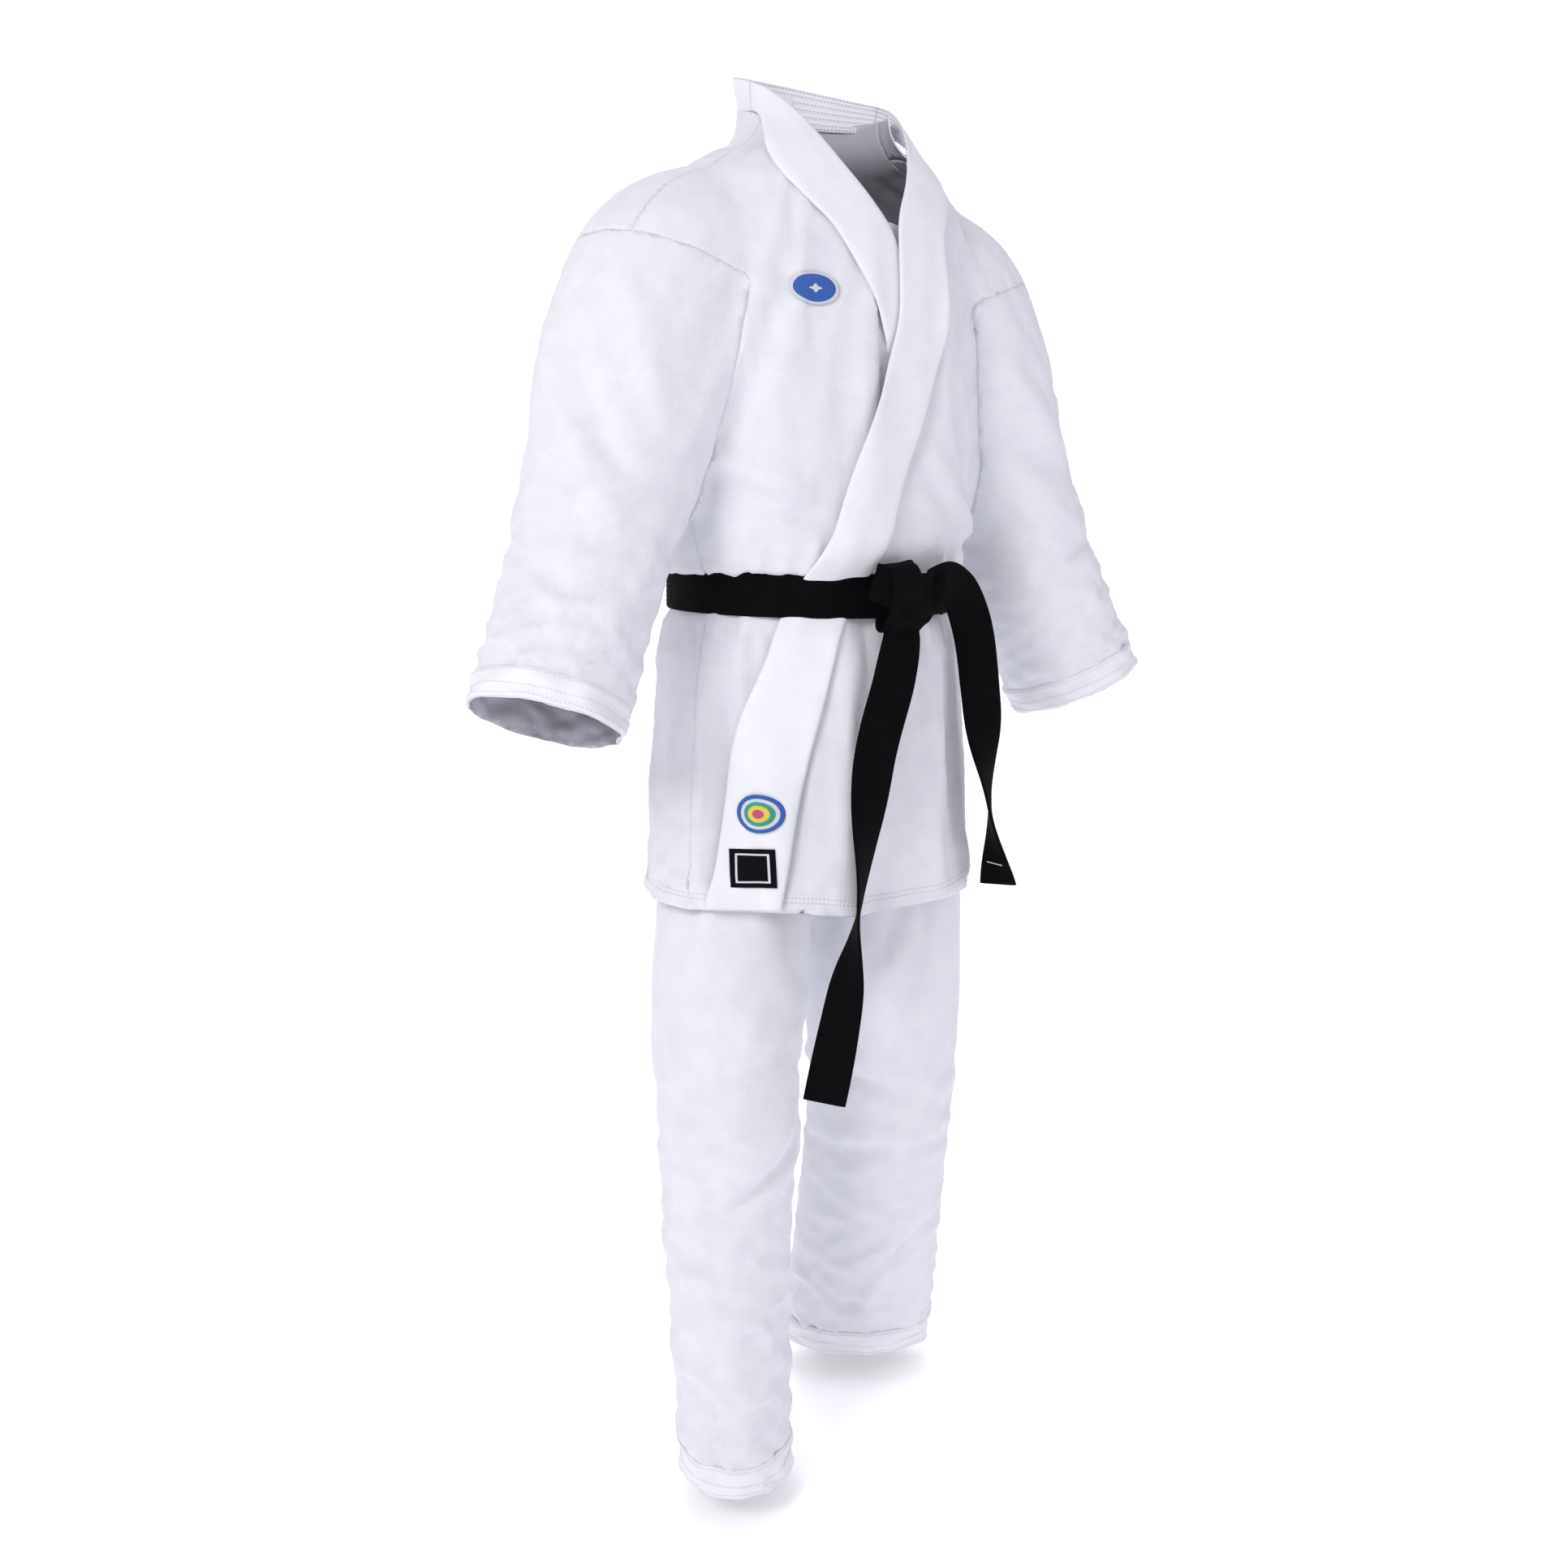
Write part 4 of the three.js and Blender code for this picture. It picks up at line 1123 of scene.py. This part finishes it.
# Stitches: one node tree lays them end to end along lines.
stitches = {"Spacing": 0.0042, "Length": 0.0030, "Radius": 0.00058}


def stitchTree(material):
    tree = bpy.data.node_groups.new("stitchRows", "GeometryNodeTree")
    tree.interface.new_socket("Geometry", in_out="INPUT", socket_type="NodeSocketGeometry")
    for word, value in stitches.items():
        s = tree.interface.new_socket(word, in_out="INPUT", socket_type="NodeSocketFloat")
        s.default_value = value
    tree.interface.new_socket("Geometry", in_out="OUTPUT", socket_type="NodeSocketGeometry")
    n = tree.nodes
    start, end = newNode(n, "NodeGroupInput"), newNode(n, "NodeGroupOutput")
    toCurve = newNode(n, "GeometryNodeMeshToCurve")
    spaced = newNode(n, "GeometryNodeResampleCurve", mode="LENGTH")
    ball = newNode(n, "GeometryNodeMeshUVSphere", {"Segments": 5, "Rings": 4, "Radius": 1.0})
    put = newNode(n, "GeometryNodeInstanceOnPoints")
    tangent = newNode(n, "GeometryNodeInputTangent")
    turn = newNode(n, "FunctionNodeAlignRotationToVector", axis="X")
    half = newNode(n, "ShaderNodeMath", {1: 0.5}, operation="MULTIPLY")
    size = newNode(n, "ShaderNodeCombineXYZ")
    real = newNode(n, "GeometryNodeRealizeInstances")
    finish = newNode(n, "GeometryNodeSetMaterial", {"Material": material})
    join(tree, (start, "Geometry", toCurve, "Mesh"), (toCurve, "Curve", spaced, "Curve"),
         (start, "Spacing", spaced, "Length"), (spaced, "Curve", put, "Points"),
         (ball, "Mesh", put, "Instance"),
         (tangent, "Tangent", turn, "Vector"), (turn, "Rotation", put, "Rotation"),
         (start, "Length", half, 0),
         (half, "Value", size, "X"), (start, "Radius", size, "Y"), (start, "Radius", size, "Z"),
         (size, "Vector", put, "Scale"), (put, "Instances", real, "Geometry"),
         (real, "Geometry", finish, "Geometry"), (finish, "Geometry", end, "Geometry"))
    return tree


stitching = stitchTree(thread)


def sewLines(name, lines, **sizes):
    verts, edges = [], []
    for line in lines:
        base = len(verts)
        verts += [tuple(map(float, p)) for p in line]
        edges += [(base + i, base + i + 1) for i in range(len(line) - 1)]
    me = bpy.data.meshes.new(name)
    me.from_pydata(verts, edges, [])
    ob = bpy.data.objects.new(name, me)
    bpy.context.scene.collection.objects.link(ob)
    mod = ob.modifiers.new("stitches", "NODES")
    mod.node_group = stitching
    sockets = {i.name: i.identifier for i in stitching.interface.items_tree
               if i.item_type == "SOCKET" and i.in_out == "INPUT"}
    for word, value in sizes.items():
        mod[sockets[word]] = value
    applyModifiers(ob)
    return smoothShade(ob)


def lapelLines(first, last):
    grid, away = whole[first:last], lapelNormals[first:last]
    lines = []
    for place in (0.055, 0.17, 0.335, 0.50, 0.665, 0.83, 0.945):
        k = place * (grid.shape[1] - 1)
        i = int(k)
        f = k - i
        lines.append(grid[:, i] * (1 - f) + grid[:, i + 1] * f + (collar["thick"] / 2 + 0.0001) * away[:, i])
    return lines


lapelSeams = sewLines("lapelStitches", lapelLines(0, joins[0]))
collarSeams = sewLines("collarStitches",
                       lapelLines(joins[0], joins[1] + 1) + lapelLines(joins[1], joins[1] + 44))
cuffSeams, hemSeams = {}, {}
for word in ("Right", "Left"):
    for grids, seams, name in ((cuffGrids, cuffSeams, "cuffStitches"),
                               (hemGrids, hemSeams, "trouserHemStitches")):
        g = grids[word]
        g = np.concatenate([g, g[:1]])
        seams[word] = sewLines(name + word, [g[:, 1], g[:, 3] * 0.5 + g[:, 4] * 0.5, g[:, 7]])


def hemLine(height, count=300):
    theta = np.linspace(0, 2 * np.pi, count)
    line = []
    for t in theta:
        p = torsoPoint(np.array([t]), np.array([hem["middle"]]))[0]
        z = hem["middle"] + hem["slope"] * p[1] + height
        out = np.array([math.cos(t), math.sin(t), 0])
        start = p + out * 0.08
        start[2] = z
        hit = jacketTree.ray_cast(Vector(start), Vector(-out), 0.2)[0]
        line.append((np.array(hit) if hit is not None else np.array([p[0], p[1], z])) + out * 0.0002)
    return line


# One pale cross row near the left end's tip, on both of its faces.
crossRow = len(tailLeftGrid) - 11
crossWay = gridNormals(tailLeftGrid)[crossRow, 9:28]
crossLines = [tailLeftGrid[crossRow, 9:28] + way * crossWay * (belt["thick"] / 2 + 0.0002) for way in (-1, 1)]
leftBand = sewLines("beltEndBand", crossLines, Spacing=0.0016, Length=0.0020, Radius=0.0007)
hemSeam = sewLines("skirtHemStitches", [hemLine(0.012), hemLine(0.017)])
print("stitches sewn")


for side, word, low in ((-1, "Right", "right"), (1, "Left", "left")):
    for ob in (panels["frontPanel" + word], panels["backPanel" + word], panels["sleeve" + word]):
        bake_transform(ob)
    seat, leg = trousers["seat" + word], trousers["leg" + word]
    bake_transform(seat)
    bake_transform(leg)
    for ob, bodyName in ((cuffs[word], "arm_"), (cuffSeams[word], "arm_"), (hems[word], "shin_"),
                         (hemSeams[word], "shin_")):
        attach(ob, bodyName + low)
    for made, node in (("frontPanel", "front_panel_"), ("backPanel", "back_panel_"), ("sleeve", "sleeve_")):
        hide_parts(node + low)
    for ob, node in ((cuffs[word], "cuff_hem_"), (seat, "seat_"), (hems[word], "trouser_hem_")):
        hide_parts(node + low)
    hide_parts("thigh_" + low, "shin_" + low)
for ob in [lapelLeft, collarBand, lapelRight, outerWrap, innerWrap, emblem, label, mark,
           lapelSeams, collarSeams, hemSeam] + knotParts:
    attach(ob, "root")
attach(tailRight, "tail_right")
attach(tailLeft, "tail_left")
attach(leftBand, "tail_left")
for ob, node in ((lapelLeft, "lapel_left"), (lapelRight, "lapel_right"), (collarBand, "collar_neck"),
                 (outerWrap, "belt_wrap"), (knotParts[0], "belt_knot"), (tailRight, "belt_end_right"),
                 (tailLeft, "belt_end_left"), (emblem, "emblem_patch"), (label, "label_patch"),
                 (mark, "chest_mark"), (trousers["seatRight"], "waistband")):
    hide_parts(node)
for ob in [o for o in bpy.data.objects if o.type == "MESH"]:
    made = ob.name
    if made.startswith(("belt", "knot")) or made == "labelPatch":
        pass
    elif made in ("emblemPatch", "chestMark"):
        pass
    elif made in list(panels) + list(trousers) or any(w in made for w in ("Hem", "apel", "ollar", "titch")):
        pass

# Cut width and length of each sheet in metres, how it is held, and what is sewn to it.
cuts = [(panels["frontPanelRight"], .170, .86, "hung", [mark]),
        (panels["frontPanelLeft"], .250, .86, "hung", []),
        (panels["backPanelRight"], .270, .86, "hung", []), (panels["backPanelLeft"], .270, .86, "hung", []),
        (panels["sleeveRight"], .450, .50, "hung", []), (panels["sleeveLeft"], .450, .50, "hung", []),
        (trousers["seatRight"], .410, .30, "gathered", []), (trousers["seatLeft"], .410, .30, "gathered", []),
        (trousers["legRight"], .500, .70, "hung", []), (trousers["legLeft"], .500, .70, "hung", []),
        (lapelLeft, .070, .86, "folded", [emblem, label, lapelSeams]), (lapelRight, .070, .32, "folded", []),
        (collarBand, .050, .27, "folded", [collarSeams]),
        (cuffs["Right"], .030, .49, "stretched", []), (cuffs["Left"], .030, .49, "stretched", []),
        (hems["Right"], .030, .50, "stretched", []), (hems["Left"], .030, .50, "stretched", []),
        (outerWrap, .045, .92, "stretched", knotParts), (innerWrap, .045, .90, "stretched", []),
        (tailRight, .045, .50, "hung", []), (tailLeft, .045, .40, "hung", [leftBand])]
for ob, width, length, held, sewn in cuts:
    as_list(sewn)
print("pieces mounted")


# Camera, lights and floor.
view = {"azimuth": -37.0, "distance": 1.80, "height": -0.44, "pitch": 8.3, "lens": 37.3, "aimRight": 0.97}
azimuth = math.radians(view["azimuth"])
camData = bpy.data.cameras.new("camera")
camData.lens = view["lens"]
camData.sensor_width = 36
camera = bpy.data.objects.new("camera", camData)
bpy.context.scene.collection.objects.link(camera)
camera.location = (math.sin(azimuth) * view["distance"], -math.cos(azimuth) * view["distance"],
                   view["height"])
camera.rotation_euler = (math.radians(90 - view["pitch"]), 0, azimuth + math.radians(view["aimRight"]))
bpy.context.scene.camera = camera


# Each light's place, aim, size in metres, power in watts and colour.
lights = {"keyLight": ((-2.6, -1.1, 0.9), (0, 0, -0.6), 1.3, 47, (1.0, 0.995, 0.985)),
          "fillLight": ((1.6, -2.6, 0.3), (0, 0, -0.7), 2.4, 15, (0.93, 0.94, 1.0)),
          "rimLight": ((1.2, 2.2, 1.2), (0, 0, -0.5), 2.0, 26, (0.97, 0.98, 1.0))}
for made, (place, aim, size, power, colour) in lights.items():
    data = bpy.data.lights.new(made, "AREA")
    data.shape, data.size, data.energy, data.color = "DISK", size, power, colour
    ob = bpy.data.objects.new(made, data)
    bpy.context.scene.collection.objects.link(ob)
    ob.location = place
    ob.rotation_euler = (Vector(aim) - Vector(place)).to_track_quat("-Z", "Y").to_euler()
world = bpy.data.worlds.new("studio")
bpy.context.scene.world = world
world.use_nodes = True
world.node_tree.nodes["Background"].inputs["Color"].default_value = (0.93, 0.94, 1.0, 1)
world.node_tree.nodes["Background"].inputs["Strength"].default_value = 0.56
bpy.context.scene.view_settings.view_transform = "Standard"

floorMaterial = bpy.data.materials.new("paleFloor")
floorMaterial.use_nodes = True
shader = floorMaterial.node_tree.nodes["Principled BSDF"]
for socket, value in (("Base Color", (0.93, 0.93, 0.94, 1)), ("Roughness", 0.9),
                      ("Emission Color", (0.96, 0.96, 1.0, 1)), ("Emission Strength", 0.35)):
    shader.inputs[socket].default_value = value


# The backdrop runs back along the view and sweeps up in a quarter turn behind the object.
floor = {"height": -1.475, "sweep": 2.5, "front": -4, "back": 2}


def sweepBackdrop():
    rows = [(floor["front"] + (floor["back"] - floor["front"]) * k / 20, floor["height"]) for k in range(20)]
    for k in range(21):
        turn = k / 40 * math.pi
        rows.append((floor["back"] + floor["sweep"] * math.sin(turn),
                     floor["height"] + floor["sweep"] * (1 - math.cos(turn))))
    rows.append((4.5, 6.0))
    c, s = math.cos(azimuth), math.sin(azimuth)
    verts = []
    for along, z in rows:
        for across in (-9.0, 9.0):
            verts.append((across * c - along * s, across * s + along * c, z))
    faces = [(2 * k, 2 * k + 1, 2 * k + 3, 2 * k + 2) for k in range(len(rows) - 1)]
    ob = meshObject("paleBackdrop", verts, faces)
    ob.data.materials.append(floorMaterial)
    smoothShade(ob)


sweepBackdrop()
print("stage set")
